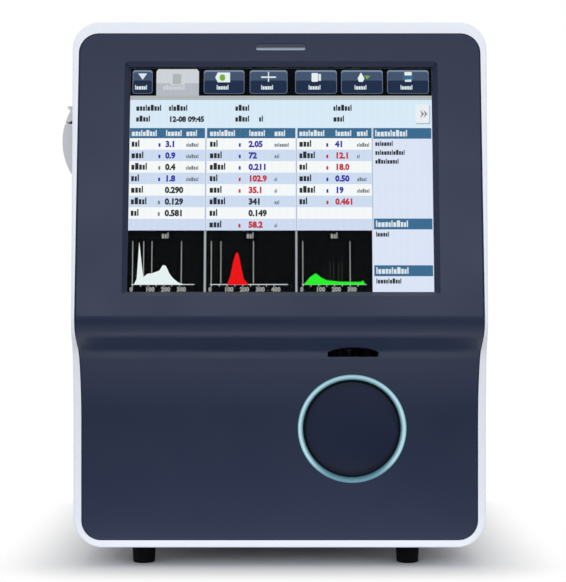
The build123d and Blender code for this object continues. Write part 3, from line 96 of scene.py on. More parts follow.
def startMaterial(name, settings):
    material = bpy.data.materials.new(name)
    material.use_nodes = True
    tree = material.node_tree
    tree.nodes.clear()
    surface = addNode(tree, "BsdfPrincipled", settings)
    addNode(tree, "OutputMaterial", links={"Surface": surface.outputs[0]})
    place = addNode(tree, "TexCoord")
    return material, tree, surface, place.outputs["Object"]


def addPiece(name, mesh, body, materials, smooth=False):
    piece = bpy.data.objects.new(name, mesh)
    bpy.context.scene.collection.objects.link(piece)
    for material in materials:
        mesh.materials.append(material)
    for polygon in mesh.polygons:
        polygon.use_smooth = smooth
    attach(piece, body)
    return piece


# the studio: a white room with a dim wall behind the camera, three lamps and a floor
studio = {
    "softLight": ("#fcfcfd", 0.80),   # even light from a large white room
    "frontWall": ("#aeb9d4", 0.16),   # the dim wall behind the camera, which gloss surfaces show
    "backdropEdge": (-0.1, 0.15),     # where the white backdrop starts, in y of the look direction
    "wallTop": (0.3, 0.7),            # where the front wall gives way to the room above, in z
    "wallSide": (-0.75, 0.1),         # and at its sides, in y
    # the floor's tone round the instrument, greyer than the white beyond: painted shade that deepens its
    # shadow
    "floorSeen": "#dedede",
    "floorNear": "#f2f2f2",           # a painted pool of light in front of the instrument, as gloss surfaces show it
    "floorFar": "#54575d",
    "floorRadius": 6,
    "floorGrain": 4,                  # mm
    "litPatch": (0.30, 0.75),         # where the painted pool of light starts to darken and ends, from the middle
    "shadowEdge": (0.135, 0.155),     # half width and depth of the floor that keeps its shadow
    "fadeWidth": 0.085,
    "lamps": [  # name, place, aimed at, width, height, watts, colour
        ("frontBox", (0, -1.75, 0.70), (0, -0.2, 0.3), 2.0, 0.45, 7.2, "#e6f0ff"),
        ("topLamp", (0.1, -0.3, 1.7), (0, -0.1, 0.2), 1.2, 1.2, 4, "#fffaf4"),
        ("floorCard", (0, -0.222, 0.004), (0, -0.222, 1.0), 0.30, 0.075, 0.055, "#eaf1ff"),
    ],
}
plainWhite = {"Color": (1, 1, 1, 1), "Strength": 1.0}
world = bpy.data.worlds.new("studio")
bpy.context.scene.world = world
world.use_nodes = True
tree = world.node_tree
tree.nodes.clear()
rays = addNode(tree, "LightPath")
look = addNode(tree, "TexCoord")
parts = addNode(tree, "SeparateXYZ", None, {0: look.outputs["Generated"]})
backdropStart, backdropFull = studio["backdropEdge"]
behind = addNode(tree, "MapRange", {1: backdropStart, 2: backdropFull}, {0: parts.outputs["Y"]})
gloss = addNode(tree, "Math", {"operation": "MULTIPLY"},
                {0: rays.outputs["Is Glossy Ray"], 1: behind.outputs[0]})
seen = addNode(tree, "Math", {"operation": "ADD"},
               {0: rays.outputs["Is Camera Ray"], 1: rays.outputs["Is Transmission Ray"]})
seen = addNode(tree, "Math", {"operation": "ADD", "use_clamp": True},
               {0: seen.outputs[0], 1: gloss.outputs[0]})
softColour, softStrength = studio["softLight"]
soft = addNode(tree, "Background", {"Color": linear(softColour), "Strength": softStrength})
wallColour, wallStrength = studio["frontWall"]
wall = addNode(tree, "Background", {"Color": linear(wallColour), "Strength": wallStrength})
wallEnds, roomStarts = studio["wallTop"]
height = addNode(tree, "MapRange", {1: wallEnds, 2: roomStarts}, {0: parts.outputs["Z"]})
wallEnds, roomStarts = studio["wallSide"]
side = addNode(tree, "MapRange", {1: wallEnds, 2: roomStarts}, {0: parts.outputs["Y"]})
upper = addNode(tree, "Math", {"operation": "MAXIMUM"}, {0: height.outputs[0], 1: side.outputs[0]})
evenly = addNode(tree, "Math", {"operation": "SUBTRACT", 0: 1.0}, {1: rays.outputs["Is Glossy Ray"]})
upper = addNode(tree, "Math", {"operation": "MAXIMUM"}, {0: upper.outputs[0], 1: evenly.outputs[0]})
room = addNode(tree, "MixShader", None, {0: upper.outputs[0], 1: wall.outputs[0], 2: soft.outputs[0]})
white = addNode(tree, "Background", plainWhite)
both = addNode(tree, "MixShader", None, {0: seen.outputs[0], 1: room.outputs[0], 2: white.outputs[0]})
addNode(tree, "OutputWorld", None, {"Surface": both.outputs[0]})

for name, place, target, width, height, watts, colour in studio["lamps"]:
    lamp = bpy.data.lights.new(name, "AREA")
    lamp.shape = "RECTANGLE"
    lamp.size, lamp.size_y = width, height
    lamp.energy = watts
    lamp.color = linear(colour)[:3]
    lampObject = bpy.data.objects.new(name, lamp)
    lampObject.location = place
    lampObject.rotation_euler = (Vector(target) - Vector(place)).to_track_quat("-Z", "Y").to_euler()
    lampObject.visible_camera = False
    bpy.context.scene.collection.objects.link(lampObject)

# the floor is a wide disc that keeps the shadow under the instrument and is plain white round it; where it
# keeps the shadow its tone is painted greyer, which deepens that shadow as painted shade
floorMesh = bpy.data.meshes.new("floor")
bm = bmesh.new()
bmesh.ops.create_circle(bm, cap_ends=True, radius=studio["floorRadius"], segments=96)
bm.to_mesh(floorMesh)
bm.free()
floorMaterial, tree, surface, place = startMaterial("paintedFloor", {"Roughness": 0.7})
grain = addNode(tree, "TexNoise", {"Scale": perMm(studio["floorGrain"]), "Detail": 3}, {"Vector": place})
relief = addNode(tree, "Bump", {"Strength": 0.05, "Distance": 0.2 * mm}, {"Height": grain.outputs["Fac"]})
tree.links.new(relief.outputs[0], surface.inputs["Normal"])
rays = addNode(tree, "LightPath")
middle = addNode(tree, "VectorMath", {"operation": "LENGTH"}, {0: place})
# gloss surfaces see a painted pool of light near the middle of the floor, darker away from it
patchStart, patchEnd = studio["litPatch"]
patch = addNode(tree, "MapRange", {1: patchStart, 2: patchEnd}, {0: middle.outputs["Value"]})
paintedPoolOfLight = addNode(tree, "Mix",
               {"data_type": "RGBA", 6: linear(studio["floorNear"]), 7: linear(studio["floorFar"])},
               {0: patch.outputs[0]})
tone = addNode(tree, "Mix", {"data_type": "RGBA", 6: linear(studio["floorSeen"])},
               {0: rays.outputs["Is Glossy Ray"], 7: paintedPoolOfLight.outputs[2]})
tree.links.new(tone.outputs[2], surface.inputs["Base Color"])
reach = addNode(tree, "VectorMath", {"operation": "ABSOLUTE"}, {0: place})
reach = addNode(tree, "VectorMath", {"operation": "SUBTRACT", 1: (*studio["shadowEdge"], 0)},
                {0: reach.outputs[0]})
reach = addNode(tree, "VectorMath", {"operation": "MAXIMUM", 1: (0, 0, 0)}, {0: reach.outputs[0]})
away = addNode(tree, "VectorMath", {"operation": "LENGTH"}, {0: reach.outputs[0]})
fade = addNode(tree, "MapRange", {"interpolation_type": "SMOOTHSTEP", 1: 0.0, 2: studio["fadeWidth"]},
               {0: away.outputs["Value"]})
seen = addNode(tree, "Math", {"operation": "ADD", "use_clamp": True},
               {0: rays.outputs["Is Camera Ray"], 1: rays.outputs["Is Transmission Ray"]})
shown = addNode(tree, "Math", {"operation": "MULTIPLY"}, {0: fade.outputs[0], 1: seen.outputs[0]})
plain = addNode(tree, "Emission", plainWhite)
output = [n for n in tree.nodes if n.type == "OUTPUT_MATERIAL"][0]
mixed = addNode(tree, "MixShader", None, {0: shown.outputs[0], 1: surface.outputs[0], 2: plain.outputs[0]})
tree.links.new(mixed.outputs[0], output.inputs["Surface"])
floorMesh.materials.append(floorMaterial)
floor = bpy.data.objects.new("floor", floorMesh)
bpy.context.scene.collection.objects.link(floor)
print("studio lit")


# finishes, made for the real materials of the instrument
patterns = {
    "noiseLow": 0.3,        # most of a noise's values lie between these two
    "noiseHigh": 0.7,
    "cloud": 70,            # mm, the slow unevenness of tone and sheen over a moulding
    "cloudSheen": 0.05,     # how far the roughness goes up and down with it
    "lineSheen": 0.06,      # the same along the lines of a metal
    "hazeSheen": 0.03,      # what handling adds to the roughness of something clear
    "pixelBand": 5.0265,    # mm; real pixels are 0.26 mm, too fine to show, so faint bands stand for them
    "bandShare": 0.985,     # tone of the darker bands
    "waveTurn": 20,         # radians that a wave texture turns in one unit of its scale
}


def mouldedPlastic(name, colour, roughness=0.45, grain=0.9, depth=0.02, mottle=0.05, coat=0.0, gloss=0.5):
    # injection moulded: a spark eroded mould leaves a fine even grain and a soft sheen
    material, tree, surface, place = startMaterial(name, {
        "Roughness": roughness, "IOR": 1.5, "Specular IOR Level": gloss, "Coat Weight": coat,
        "Coat Roughness": 0.25})
    cloud = addNode(tree, "TexNoise", {"Scale": perMm(patterns["cloud"]), "Detail": 3}, {"Vector": place})
    base = linear(colour)
    tint = addNode(tree, "Mix", {"data_type": "RGBA", 6: shaded(base, 1 - mottle), 7: base},
                   {0: cloud.outputs["Fac"]})
    tree.links.new(tint.outputs[2], surface.inputs["Base Color"])
    pits = addNode(tree, "TexNoise", {"Scale": perMm(grain), "Detail": 2, "Roughness": 0.6},
                   {"Vector": place})
    relief = addNode(tree, "Bump", {"Strength": 0.35, "Distance": depth * mm},
                     {"Height": pits.outputs["Fac"]})
    tree.links.new(relief.outputs[0], surface.inputs["Normal"])
    rough = addNode(tree, "MapRange",
                    {1: patterns["noiseLow"], 2: patterns["noiseHigh"],
                     3: roughness - patterns["cloudSheen"], 4: roughness + patterns["cloudSheen"]},
                    {0: cloud.outputs["Fac"]})
    tree.links.new(rough.outputs[0], surface.inputs["Roughness"])
    return material


def finishedMetal(name, colour, roughness, stretch, line=0.5, streak=0.12, painted=False):
    # rolled, ground or brushed: lines run one way, so the stretch along them is large; paint has none
    material, tree, surface, place = startMaterial(name, {
        "Base Color": linear(colour), "Roughness": roughness, "Metallic": 0.0 if painted else 1.0})
    spread = addNode(tree, "Mapping", {"Scale": tuple(perMm(line) / s for s in stretch)}, {"Vector": place})
    lines = addNode(tree, "TexNoise", {"Scale": 1.0, "Detail": 4}, {"Vector": spread.outputs[0]})
    base = linear(colour)
    tint = addNode(tree, "Mix", {"data_type": "RGBA", 6: shaded(base, 1 - streak), 7: base},
                   {0: lines.outputs["Fac"]})
    tree.links.new(tint.outputs[2], surface.inputs["Base Color"])
    rough = addNode(tree, "MapRange",
                    {1: patterns["noiseLow"], 2: patterns["noiseHigh"],
                     3: roughness - patterns["lineSheen"], 4: roughness + patterns["lineSheen"]},
                    {0: lines.outputs["Fac"]})
    tree.links.new(rough.outputs[0], surface.inputs["Roughness"])
    relief = addNode(tree, "Bump", {"Strength": 0.15, "Distance": 0.02 * mm},
                     {"Height": lines.outputs["Fac"]})
    tree.links.new(relief.outputs[0], surface.inputs["Normal"])
    return material


def clearPlastic(name, colour, roughness, haze=30, ior=1.49):
    # clear and smooth: light goes through, and a faint haze of handling shows in the gloss
    material, tree, surface, place = startMaterial(name, {
        "Base Color": linear(colour), "Roughness": roughness, "IOR": ior, "Transmission Weight": 1.0})
    cloud = addNode(tree, "TexNoise", {"Scale": perMm(haze), "Detail": 3}, {"Vector": place})
    rough = addNode(tree, "MapRange",
                    {1: 0.35, 2: patterns["noiseHigh"], 3: roughness, 4: roughness + patterns["hazeSheen"]},
                    {0: cloud.outputs["Fac"]})
    tree.links.new(rough.outputs[0], surface.inputs["Roughness"])
    return material


def litPixels(name, colour):
    # liquid crystal: the light comes from behind, so the colour is the same in any studio
    material, tree, surface, place = startMaterial(name, {
        "Base Color": (0.002, 0.002, 0.002, 1), "Roughness": 0.6, "Specular IOR Level": 0.0,
        "Emission Strength": 1.0})
    bandScale = perMm(patterns["pixelBand"]) * 2 * pi / patterns["waveTurn"]
    bands = addNode(tree, "TexWave", {"Scale": bandScale, "Distortion": 0.0}, {"Vector": place})
    base = linear(colour)
    tint = addNode(tree, "Mix", {"data_type": "RGBA", 6: shaded(base, patterns["bandShare"]), 7: base},
                   {0: bands.outputs["Fac"]})
    tree.links.new(tint.outputs[2], surface.inputs["Emission Color"])
    return material


# housing mouldings: satin, cool white, light grey, and a navy that greys where light grazes it
whiteAbs = mouldedPlastic("whiteAbs", "#eaedf3", 0.42, mottle=0.03, coat=0.1)
greyAbs = mouldedPlastic("greyAbs", "#d3d4d6", 0.45, mottle=0.04)
navyAbs = mouldedPlastic("navyAbs", "#142240", 0.38, mottle=0.06)
# the key's navy is a darker, duller copy of the panel's; the darker tone stands in for the shade in its
# recess: painted shade
navyKeyPaintedDarker = mouldedPlastic("navyKeyAbsPaintedDarker", "#111d38", 0.36, mottle=0.06, gloss=0.32)  # gives back less light

# working plastics: dull black nylon, waxy acetal, and rubbers that give back almost no light
blackNylon = mouldedPlastic("blackNylon", "#1b1c1f", 0.5)
acetal = mouldedPlastic("whiteAcetal", "#e6e6e1", 0.35, depth=0.01)
nitrile = mouldedPlastic("nitrileRubber", "#08090a", 0.85, grain=0.6, depth=0.05, mottle=0.15, gloss=0.15)
beltRubber = mouldedPlastic("beltPolyurethane", "#202124", 0.6, grain=0.5, mottle=0.1)

# lacquer, paper, film and print: even tones and hardly any relief, but the lacquer is blotchy
solderMask = mouldedPlastic("solderMask", "#1d5a3a", 0.3, grain=2.0, depth=0.03, mottle=0.3)
thermalPaper = mouldedPlastic("thermalPaper", "#eeeeea", 0.6, grain=0.3, depth=0.01, mottle=0.03)
blackFilm = mouldedPlastic("blackPrintedFilm", "#0a0b0d", 0.3, depth=0.005)
whiteInk = mouldedPlastic("whitePadPrint", "#eceef0", 0.5, depth=0.005)

# small coloured mouldings at the rear, clear strong tones
fitBlue = mouldedPlastic("bluePolypropylene", "#3f6fb5", 0.4)
fitRed = mouldedPlastic("redPolypropylene", "#b5413f", 0.4)
fitYellow = mouldedPlastic("yellowPolypropylene", "#d6b23c", 0.4)

# bare metals: grinding, rolling and brushing draw the highlights out along one way
groundSteel = finishedMetal("groundStainless", "#cfd1d4", 0.22, (1, 1, 30), 0.3)
zincSteel = finishedMetal("zincPlatedSteel", "#b9bcc2", 0.38, (1, 1, 14))
anodised = finishedMetal("anodisedAluminium", "#c3c7cd", 0.34, (10, 1, 1), 0.4)
gold = finishedMetal("goldContact", "#d9b45a", 0.25, (1, 8, 1), 0.3)

# coated metals: fine orange peel with no direction
coatedSteel = finishedMetal("powderCoatedSteel", "#c9ccd2", 0.5, (1, 1, 1), 1.2, 0.04, painted=True)
motorPaint = finishedMetal("motorEnamel", "#25262a", 0.42, (1, 1, 1), 1.0, 0.1, painted=True)

# clear pieces: the glass has a coating that takes off most glare, and the hose is milky
touchGlass = clearPlastic("coatedTouchGlass", "#f5f8f8", 0.02, ior=1.07)
acrylic = clearPlastic("castAcrylic", "#eef5f8", 0.06)
silicone = clearPlastic("siliconeHose", "#eceff0", 0.3)

# the status lens is smoked, and its lower lip is painted lighter as a highlight
lens = {
    "smoke": "#232c42",
    "lit": "#96a0b2",
    "lip": (374.6 * mm, 372.9 * mm),    # heights at which the painted highlight on the lip starts and is full
}
smokedLens, tree, surface, place = startMaterial("smokedPolycarbonate", {
    "Roughness": 0.3, "IOR": 1.58, "Coat Weight": 0.3})
lipStart, lipFull = lens["lip"]
height = addNode(tree, "SeparateXYZ", None, {0: place})
lip = addNode(tree, "MapRange", {"interpolation_type": "SMOOTHSTEP", 1: lipStart, 2: lipFull},
              {0: height.outputs["Z"]})
# the lip's lighter tone in the base colour is a painted highlight
tint = addNode(tree, "Mix", {"data_type": "RGBA", 6: linear(lens["smoke"]), 7: linear(lens["lit"])},
               {0: lip.outputs[0]})
tree.links.new(tint.outputs[2], surface.inputs["Base Color"])

# the ring is a teal light guide that glows; the bright line along its middle is a painted highlight that
# rounds the flat ring, its brighter sides are painted highlights, and its darker foot is painted shade
lightRing = {
    "centre": (52.3 * mm, 0, 101 * mm),
    "paintedHighlightLine": 37.5 * mm,          # radius of the painted highlight line
    "halfBand": 1.9 * mm,
    "highlightEdgeShare": 0.12,           # share of the painted highlight left at the band's edges
    "topToneBetweenSideHighlights": 0.78,            # share of it at the top, between the painted side highlights
    "paintedShadeAtBottom": 0.3,           # share of it at the very bottom, as painted shade
    "dim": "#3f7384",
    "bright": "#c4ecf2",
    "strength": 0.2,
}
ringMaterial, tree, surface, place = startMaterial("tealLightGuide", {
    "Roughness": 0.22, "IOR": 1.5, "Coat Weight": 0.4, "Emission Strength": lightRing["strength"]})
spoke = addNode(tree, "VectorMath", {"operation": "SUBTRACT", 1: lightRing["centre"]}, {0: place})
spoke = addNode(tree, "VectorMath", {"operation": "MULTIPLY", 1: (1, 0, 1)}, {0: spoke.outputs[0]})
radius = addNode(tree, "VectorMath", {"operation": "LENGTH"}, {0: spoke.outputs[0]})
fromHighlightLine = addNode(tree, "Math", {"operation": "SUBTRACT", 1: lightRing["paintedHighlightLine"]},
                   {0: radius.outputs["Value"]})
fromHighlightLine = addNode(tree, "Math", {"operation": "ABSOLUTE"}, {0: fromHighlightLine.outputs[0]})
# a bright line along the middle of the band: painted highlight
paintedHighlightLine = addNode(tree, "MapRange",
               {"interpolation_type": "SMOOTHSTEP", 1: 0.0, 2: lightRing["halfBand"],
                3: 1.0, 4: lightRing["highlightEdgeShare"]},
               {0: fromHighlightLine.outputs[0]})
spoke = addNode(tree, "VectorMath", {"operation": "NORMALIZE"}, {0: spoke.outputs[0]})
spoke = addNode(tree, "SeparateXYZ", None, {0: spoke.outputs[0]})
sideways = addNode(tree, "Math", {"operation": "ABSOLUTE"}, {0: spoke.outputs["X"]})
# brighter at the left and right: painted highlights
sides = addNode(tree, "MapRange",
                {"interpolation_type": "SMOOTHSTEP", 1: 0.35, 2: 0.95, 3: lightRing["topToneBetweenSideHighlights"], 4: 1.0},
                {0: sideways.outputs[0]})
# darker at the bottom: painted shade
below = addNode(tree, "MapRange",
                {"interpolation_type": "SMOOTHSTEP", 1: -0.55, 2: -0.95, 3: 1.0, 4: lightRing["paintedShadeAtBottom"]},
                {0: spoke.outputs["Z"]})
glowAndPaintedLight = addNode(tree, "Math", {"operation": "MULTIPLY"}, {0: sides.outputs[0], 1: below.outputs[0]})
glowAndPaintedLight = addNode(tree, "Math", {"operation": "MULTIPLY"}, {0: glowAndPaintedLight.outputs[0], 1: paintedHighlightLine.outputs[0]})
tint = addNode(tree, "Mix",
               {"data_type": "RGBA", 6: linear(lightRing["dim"]), 7: linear(lightRing["bright"])},
               {0: glowAndPaintedLight.outputs[0]})
tree.links.new(tint.outputs[2], surface.inputs["Emission Color"])
# the same tones also go into the base colour: painted highlights and painted shade
tree.links.new(tint.outputs[2], surface.inputs["Base Color"])

finishes = [
    (whiteAbs, ["front_frame", "top_cover", "base_cover", "left_panel", "right_door"]),
    (navyAbs, ["front_panel"]),
    (navyKeyPaintedDarker, ["aspirate_key"]),
    (ringMaterial, ["key_light_ring"]),
    (smokedLens, ["indicator_lens"]),
    (touchGlass, ["touch_glass"]),
    (blackFilm, ["display_module"]),
    (blackNylon, ["key_housing", "fan_housing", "fan_rotor", "power_inlet", "power_switch"]),
    (greyAbs, ["recorder_housing", "recorder_door", "recorder_lever"]),
    (nitrile, ["rubber_feet", "platen_roller"]),
    (zincSteel, ["chassis_plate", "divider_plate", "display_bracket", "bath_bracket", "syringe_bracket",
                 "power_supply", "data_ports", "door_magnet", "case_screws", "foot_screws"]),
    (coatedSteel, ["rear_panel"]),
    (groundSteel, ["hinge_pins", "guide_rail", "guide_rods", "lift_screw", "diluent_screw",
                   "sample_screw", "sample_probe"]),
    (anodised, ["carriage", "idler_pulley", "drive_pulley"]),
    (motorPaint, ["drive_motor", "lift_motor", "syringe_motors", "diaphragm_pumps", "solenoid_valves"]),
    (acrylic, ["bath_cups", "syringe_barrels", "valve_manifold", "vacuum_chamber"]),
    (acetal, ["probe_arm", "probe_wiper", "diluent_plunger", "sample_plunger", "fluid_fittings"]),
    (beltRubber, ["drive_belt"]),
    (solderMask, ["main_board"]),
    (silicone, ["tubing"]),
    (thermalPaper, ["paper_roll"]),
]
dressed = set()
for material, names in finishes:
    for name in names:
        nodes[name].data.materials.clear()
        nodes[name].data.materials.append(material)
        dressed.add(name)
if set(nodes) - dressed:
    raise SystemExit(f"no finish for {sorted(set(nodes) - dressed)}")
print("finishes given to", len(dressed), "nodes")


# the lit screen: its picture is drawn in steps, across and down from its top left corner
screen = {
    "centre": (1.0 * mm, -200.596 * mm, 279.994 * mm),  # middle of the glass's front
    "tilt": radians(7.78),
    "width": 216.2 * mm,
    "height": 162.2 * mm,
    "across": 306.2,        # steps
    "down": 225.4,
    "depth": 1.74 * mm,     # behind the glass's front face
    "layer": 0.015 * mm,    # what is drawn over something lies this much nearer
    "cornerParts": 4,       # straight parts in a rounded corner
    "numberStroke": 0.055,  # how much bolder than the plain typeface the numbers are
}
screenUp = Vector((0, sin(screen["tilt"]), cos(screen["tilt"])))
screenOut = Vector((0, -cos(screen["tilt"]), sin(screen["tilt"])))
screenColours = {
    "bar": "#05070d", "tabTop": "#7c8ba4", "tabMid": "#45566f", "tabLow": "#22304a", "tabOn": "#d3d6dc",
    "tabOnLow": "#b9bdc6", "strip": "#b3b8ba", "header": "#ddeefb", "band": "#3d6d93", "row": "#fafcfc",
    "rowBlue": "#d2dff5", "side": "#e0e8fa", "plot": "#020304", "gap": "#a3a9ad", "ink": "#2c3034",
    "faint": "#7b838a", "blue": "#3a35a8", "red": "#c8303c", "light": "#dfe9f0", "peak": "#eaf4f4",
    "cells": "#f01010", "small": "#2cf02c", "lines": "#9c9e98", "dimLines": "#2c2e2c", "leaf": "#7fae3c",
    "button": "#eef3f6",
}
screenMaterials = {key: litPixels("screen" + key[0].upper() + key[1:], value)
                   for key, value in screenColours.items()}
screenKeys = list(screenMaterials)
screenMesh = bpy.data.meshes.new("screenPicture")
bm = bmesh.new()


def screenPoint(u, v, layer):
    x = (u / screen["across"] - 0.5) * screen["width"]
    z = (0.5 - v / screen["down"]) * screen["height"]
    lift = layer * screen["layer"] - screen["depth"]
    return Vector(screen["centre"]) + Vector((x, 0, 0)) + screenUp * z + screenOut * lift


def drawShape(points, colour, layer):
    face = bm.faces.new([bm.verts.new(screenPoint(u, v, layer)) for u, v in reversed(points)])
    face.material_index = screenKeys.index(colour)


def drawBox(left, top, right, bottom, colour, layer, rounding=0.0):
    if not rounding:
        drawShape([(left, top), (right, top), (right, bottom), (left, bottom)], colour, layer)
        return
    points = []
    for x, y, start in ((right - rounding, top + rounding, -90), (right - rounding, bottom - rounding, 0),
                        (left + rounding, bottom - rounding, 90), (left + rounding, top + rounding, 180)):
        for step in range(screen["cornerParts"] + 1):
            angle = radians(start + step * 90 / screen["cornerParts"])
            points.append((x + rounding * cos(angle), y + rounding * sin(angle)))
    drawShape(points, colour, layer)


# greeked text: blocks of uneven width and height stand for letters, as shares of the text's size
greek = {"widths": (0.4, 0.3, 0.46, 0.18, 0.36), "gap": 0.1, "low": 0.66, "middling": 0.7, "tall": 0.92}
textSizes = {"tab": 5.0, "heading": 6.6, "clock": 7.4, "result": 7.4, "value": 8.2, "unit": 4.4,
             "message": 7.0, "note": 5.4, "plot": 6.4, "axis": 6.0}


def drawWord(left, base, letters, colour, layer, kind):
    size = textSizes[kind]
    x = left
    for i in range(letters):
        shape = (i * 7 + letters * 3) % len(greek["widths"])  # the same mix of shapes on each run
        risen = greek["tall"] if i % 2 else greek["low"]
        heights = (greek["low"], greek["low"], risen, greek["tall"], greek["middling"])
        wide = size * greek["widths"][shape]
        drawBox(x, base - size * heights[shape], x + wide, base, colour, layer)
        x += wide + size * greek["gap"]


def drawNumber(text, left, base, colour, layer, kind):
    size = textSizes[kind]
    curve = bpy.data.curves.new("number", "FONT")
    curve.body = text
    curve.size = 1.0
    curve.resolution_u = 2
    curve.offset = screen["numberStroke"]
    holder = bpy.data.objects.new("number", curve)
    flat = bpy.data.meshes.new_from_object(holder)
    bpy.data.objects.remove(holder)
    corners = [bm.verts.new(screenPoint(left + vert.co.x * size, base - vert.co.y * size, layer))
               for vert in flat.vertices]
    for polygon in flat.polygons:
        face = bm.faces.new([corners[i] for i in polygon.vertices])
        face.material_index = screenKeys.index(colour)
    bpy.data.meshes.remove(flat)


# edges that the areas of the picture share, in steps
areas = {
    "right": screen["across"],
    "bottom": screen["down"],
    "tabsEnd": 28.7,
    "headerTop": 33,
    "tableTop": 61.5,
    "rowTop": 71.8,
    "rowStep": 11.55,
    "tableEnd": 164.2,
    "plotTop": 164.6,
    "firstGap": 76.2,       # the tables and the plots stand in three columns with narrow gaps
    "secondGap": 167.4,
    "messageLeft": 244.2,
}

# tab bar and its seven tabs, the second one in front
drawBox(0, 0, areas["right"], areas["tabsEnd"], "bar", 0)
for left, right in ((3, 23), (75, 116), (121.5, 159.5), (167.5, 209.5), (214, 256), (260.5, 302.5)):
    drawBox(left, 2.6, right, 26.6, "tabTop", 1, 2.6)
    drawBox(left + 0.4, 4.4, right - 0.4, 26.3, "tabMid", 2, 2.4)
    drawBox(left + 0.5, 13.2, right - 0.5, 26.2, "tabLow", 3, 2.0)
    drawWord((left + right) / 2 - 7.5, 22.4, 6, "light", 4, "tab")
drawShape([(27, areas["tabsEnd"]), (27, 4), (29, 1.6), (68, 1.6), (70, 4), (70, areas["tabsEnd"])],
          "tabOn", 1)
drawBox(27, 16, 70, areas["tabsEnd"], "tabOnLow", 2)
drawBox(41, 5.5, 55.5, 18, "tabOn", 3, 1.2)
drawBox(43.5, 6.5, 52, 17, "strip", 4)
drawWord(34, 22.6, 10, "tabOn", 4, "tab")

# tab pictures: a pointer, a label with a leaf, a cross, a tube, a drop with a leaf, a printer
drawShape([(8.5, 6), (17.5, 6), (13, 12.4)], "light", 4)
drawShape([(89, 5), (101.5, 5), (101.5, 15), (89, 15), (86.5, 10)], "peak", 4)
drawBox(91, 7, 96.5, 13.4, "leaf", 5, 2.4)
drawBox(139.8, 4.5, 141, 14.5, "light", 4)
drawBox(133, 9, 148, 10.6, "light", 4)
drawBox(184, 5.5, 190.5, 14.5, "peak", 4, 1.0)
drawBox(191, 6.5, 193.5, 13.5, "light", 4)
drawShape([(234, 5), (237.5, 11), (236, 14.5), (232, 14.5), (230.5, 11)], "peak", 4)
drawShape([(237.5, 8), (243.5, 8.5), (240, 12)], "leaf", 4)
drawBox(278, 4.5, 285.5, 8, "peak", 4, 1.0)
drawBox(276.5, 8, 287, 12.5, "band", 4, 1.0)
drawBox(278.5, 12, 285, 14.5, "light", 4)

# sample header with its words, its date and the button for the next page
drawBox(0, areas["tabsEnd"], areas["right"], areas["headerTop"], "strip", 0)
drawBox(0, areas["headerTop"], areas["right"], areas["tableTop"], "header", 0)
for left, base, letters in ((7, 44, 9), (40, 44, 7), (7, 55, 5), (107, 44, 5), (107, 55, 5), (131, 55, 2),
                            (206, 44, 7), (206, 55, 4)):
    drawWord(left, base, letters, "ink", 1, "heading")
drawNumber("12-08 09:45", 40, 55, "ink", 1, "clock")
drawBox(289, 38, 303.5, 57.5, "gap", 1, 1.6)
drawBox(289, 37.6, 302.8, 56.6, "button", 2, 1.6)
for left in (293.5, 296.8):
    tip = left + 4
    drawShape([(left, 43), (tip, 47.2), (left, 51.5), (left + 1.7, 47.2)], "faint", 3)

# three tables of results
resultColumns = [
    {
        "left": 0.8, "right": 76.5, "nameAt": 2, "flagAt": 29, "valueAt": 36, "unitAt": 57,
        "rows": [  # flagged, value, colour, letters in the unit
            (True, "3.1", "blue", 7), (True, "0.9", "blue", 7), (True, "0.4", "ink", 7),
            (True, "1.8", "blue", 7), (False, "0.290", "ink", 0), (True, "0.129", "ink", 0),
            (True, "0.581", "ink", 0), None,
        ],
    },
    {
        "left": 78.6, "right": 167.6, "nameAt": 3, "flagAt": 32, "valueAt": 42, "unitAt": 68,
        "rows": [
            (True, "2.05", "blue", 8), (True, "72", "blue", 3), (True, "0.211", "blue", 0),
            (True, "102.9", "red", 2), (True, "35.1", "red", 2), (False, "341", "ink", 3),
            (False, "0.149", "ink", 0), (True, "58.2", "red", 2),
        ],
    },
    {
        "left": 169.6, "right": areas["messageLeft"], "nameAt": 2, "flagAt": 29, "valueAt": 38, "unitAt": 60,
        "rows": [
            (True, "41", "blue", 7), (True, "12.1", "red", 2), (True, "18.0", "red", 0),
            (True, "0.50", "blue", 5), (True, "19", "blue", 7), (True, "0.461", "red", 0), None, None,
        ],
    },
]
for column in resultColumns:
    left, right = column["left"], column["right"]
    drawBox(left, areas["tableTop"], right, areas["rowTop"], "band", 1)
    drawWord(left + column["nameAt"], 69.6, 9, "light", 2, "heading")
    drawWord(left + column["valueAt"] + 0.5, 69.6, 6, "light", 2, "heading")
    drawWord(left + column["unitAt"], 69.6, 4, "light", 2, "heading")
    for i, row in enumerate(column["rows"]):
        top = areas["rowTop"] + i * areas["rowStep"]
        drawBox(left, top, right, top + areas["rowStep"], "rowBlue" if i % 2 else "row", 1)
        if row is None:
            continue
        flagged, value, colour, unitLetters = row
        base = top + areas["rowStep"] - 2.9
        drawWord(left + column["nameAt"], base, 3 + (i + int(left)) % 3, "ink", 2, "result")
        if flagged:
            flagLeft = left + column["flagAt"]
            drawBox(flagLeft, base - 3.6, flagLeft + 2, base, "faint" if colour == "ink" else colour, 2)
        drawNumber(value, left + column["valueAt"], base, colour, 2, "value")
        drawWord(left + column["unitAt"], base, unitLetters, "faint", 2, "unit")
drawBox(0, areas["tableTop"], 0.8, areas["bottom"], "side", 0)
drawBox(76.5, areas["tableTop"], 78.6, areas["tableEnd"], "side", 1)
drawBox(167.6, areas["tableTop"], 169.6, areas["tableEnd"], "side", 1)
drawBox(77.1, areas["rowTop"], 77.7, areas["tableEnd"], "gap", 2)
drawBox(168.2, areas["rowTop"], 168.8, areas["tableEnd"], "gap", 2)

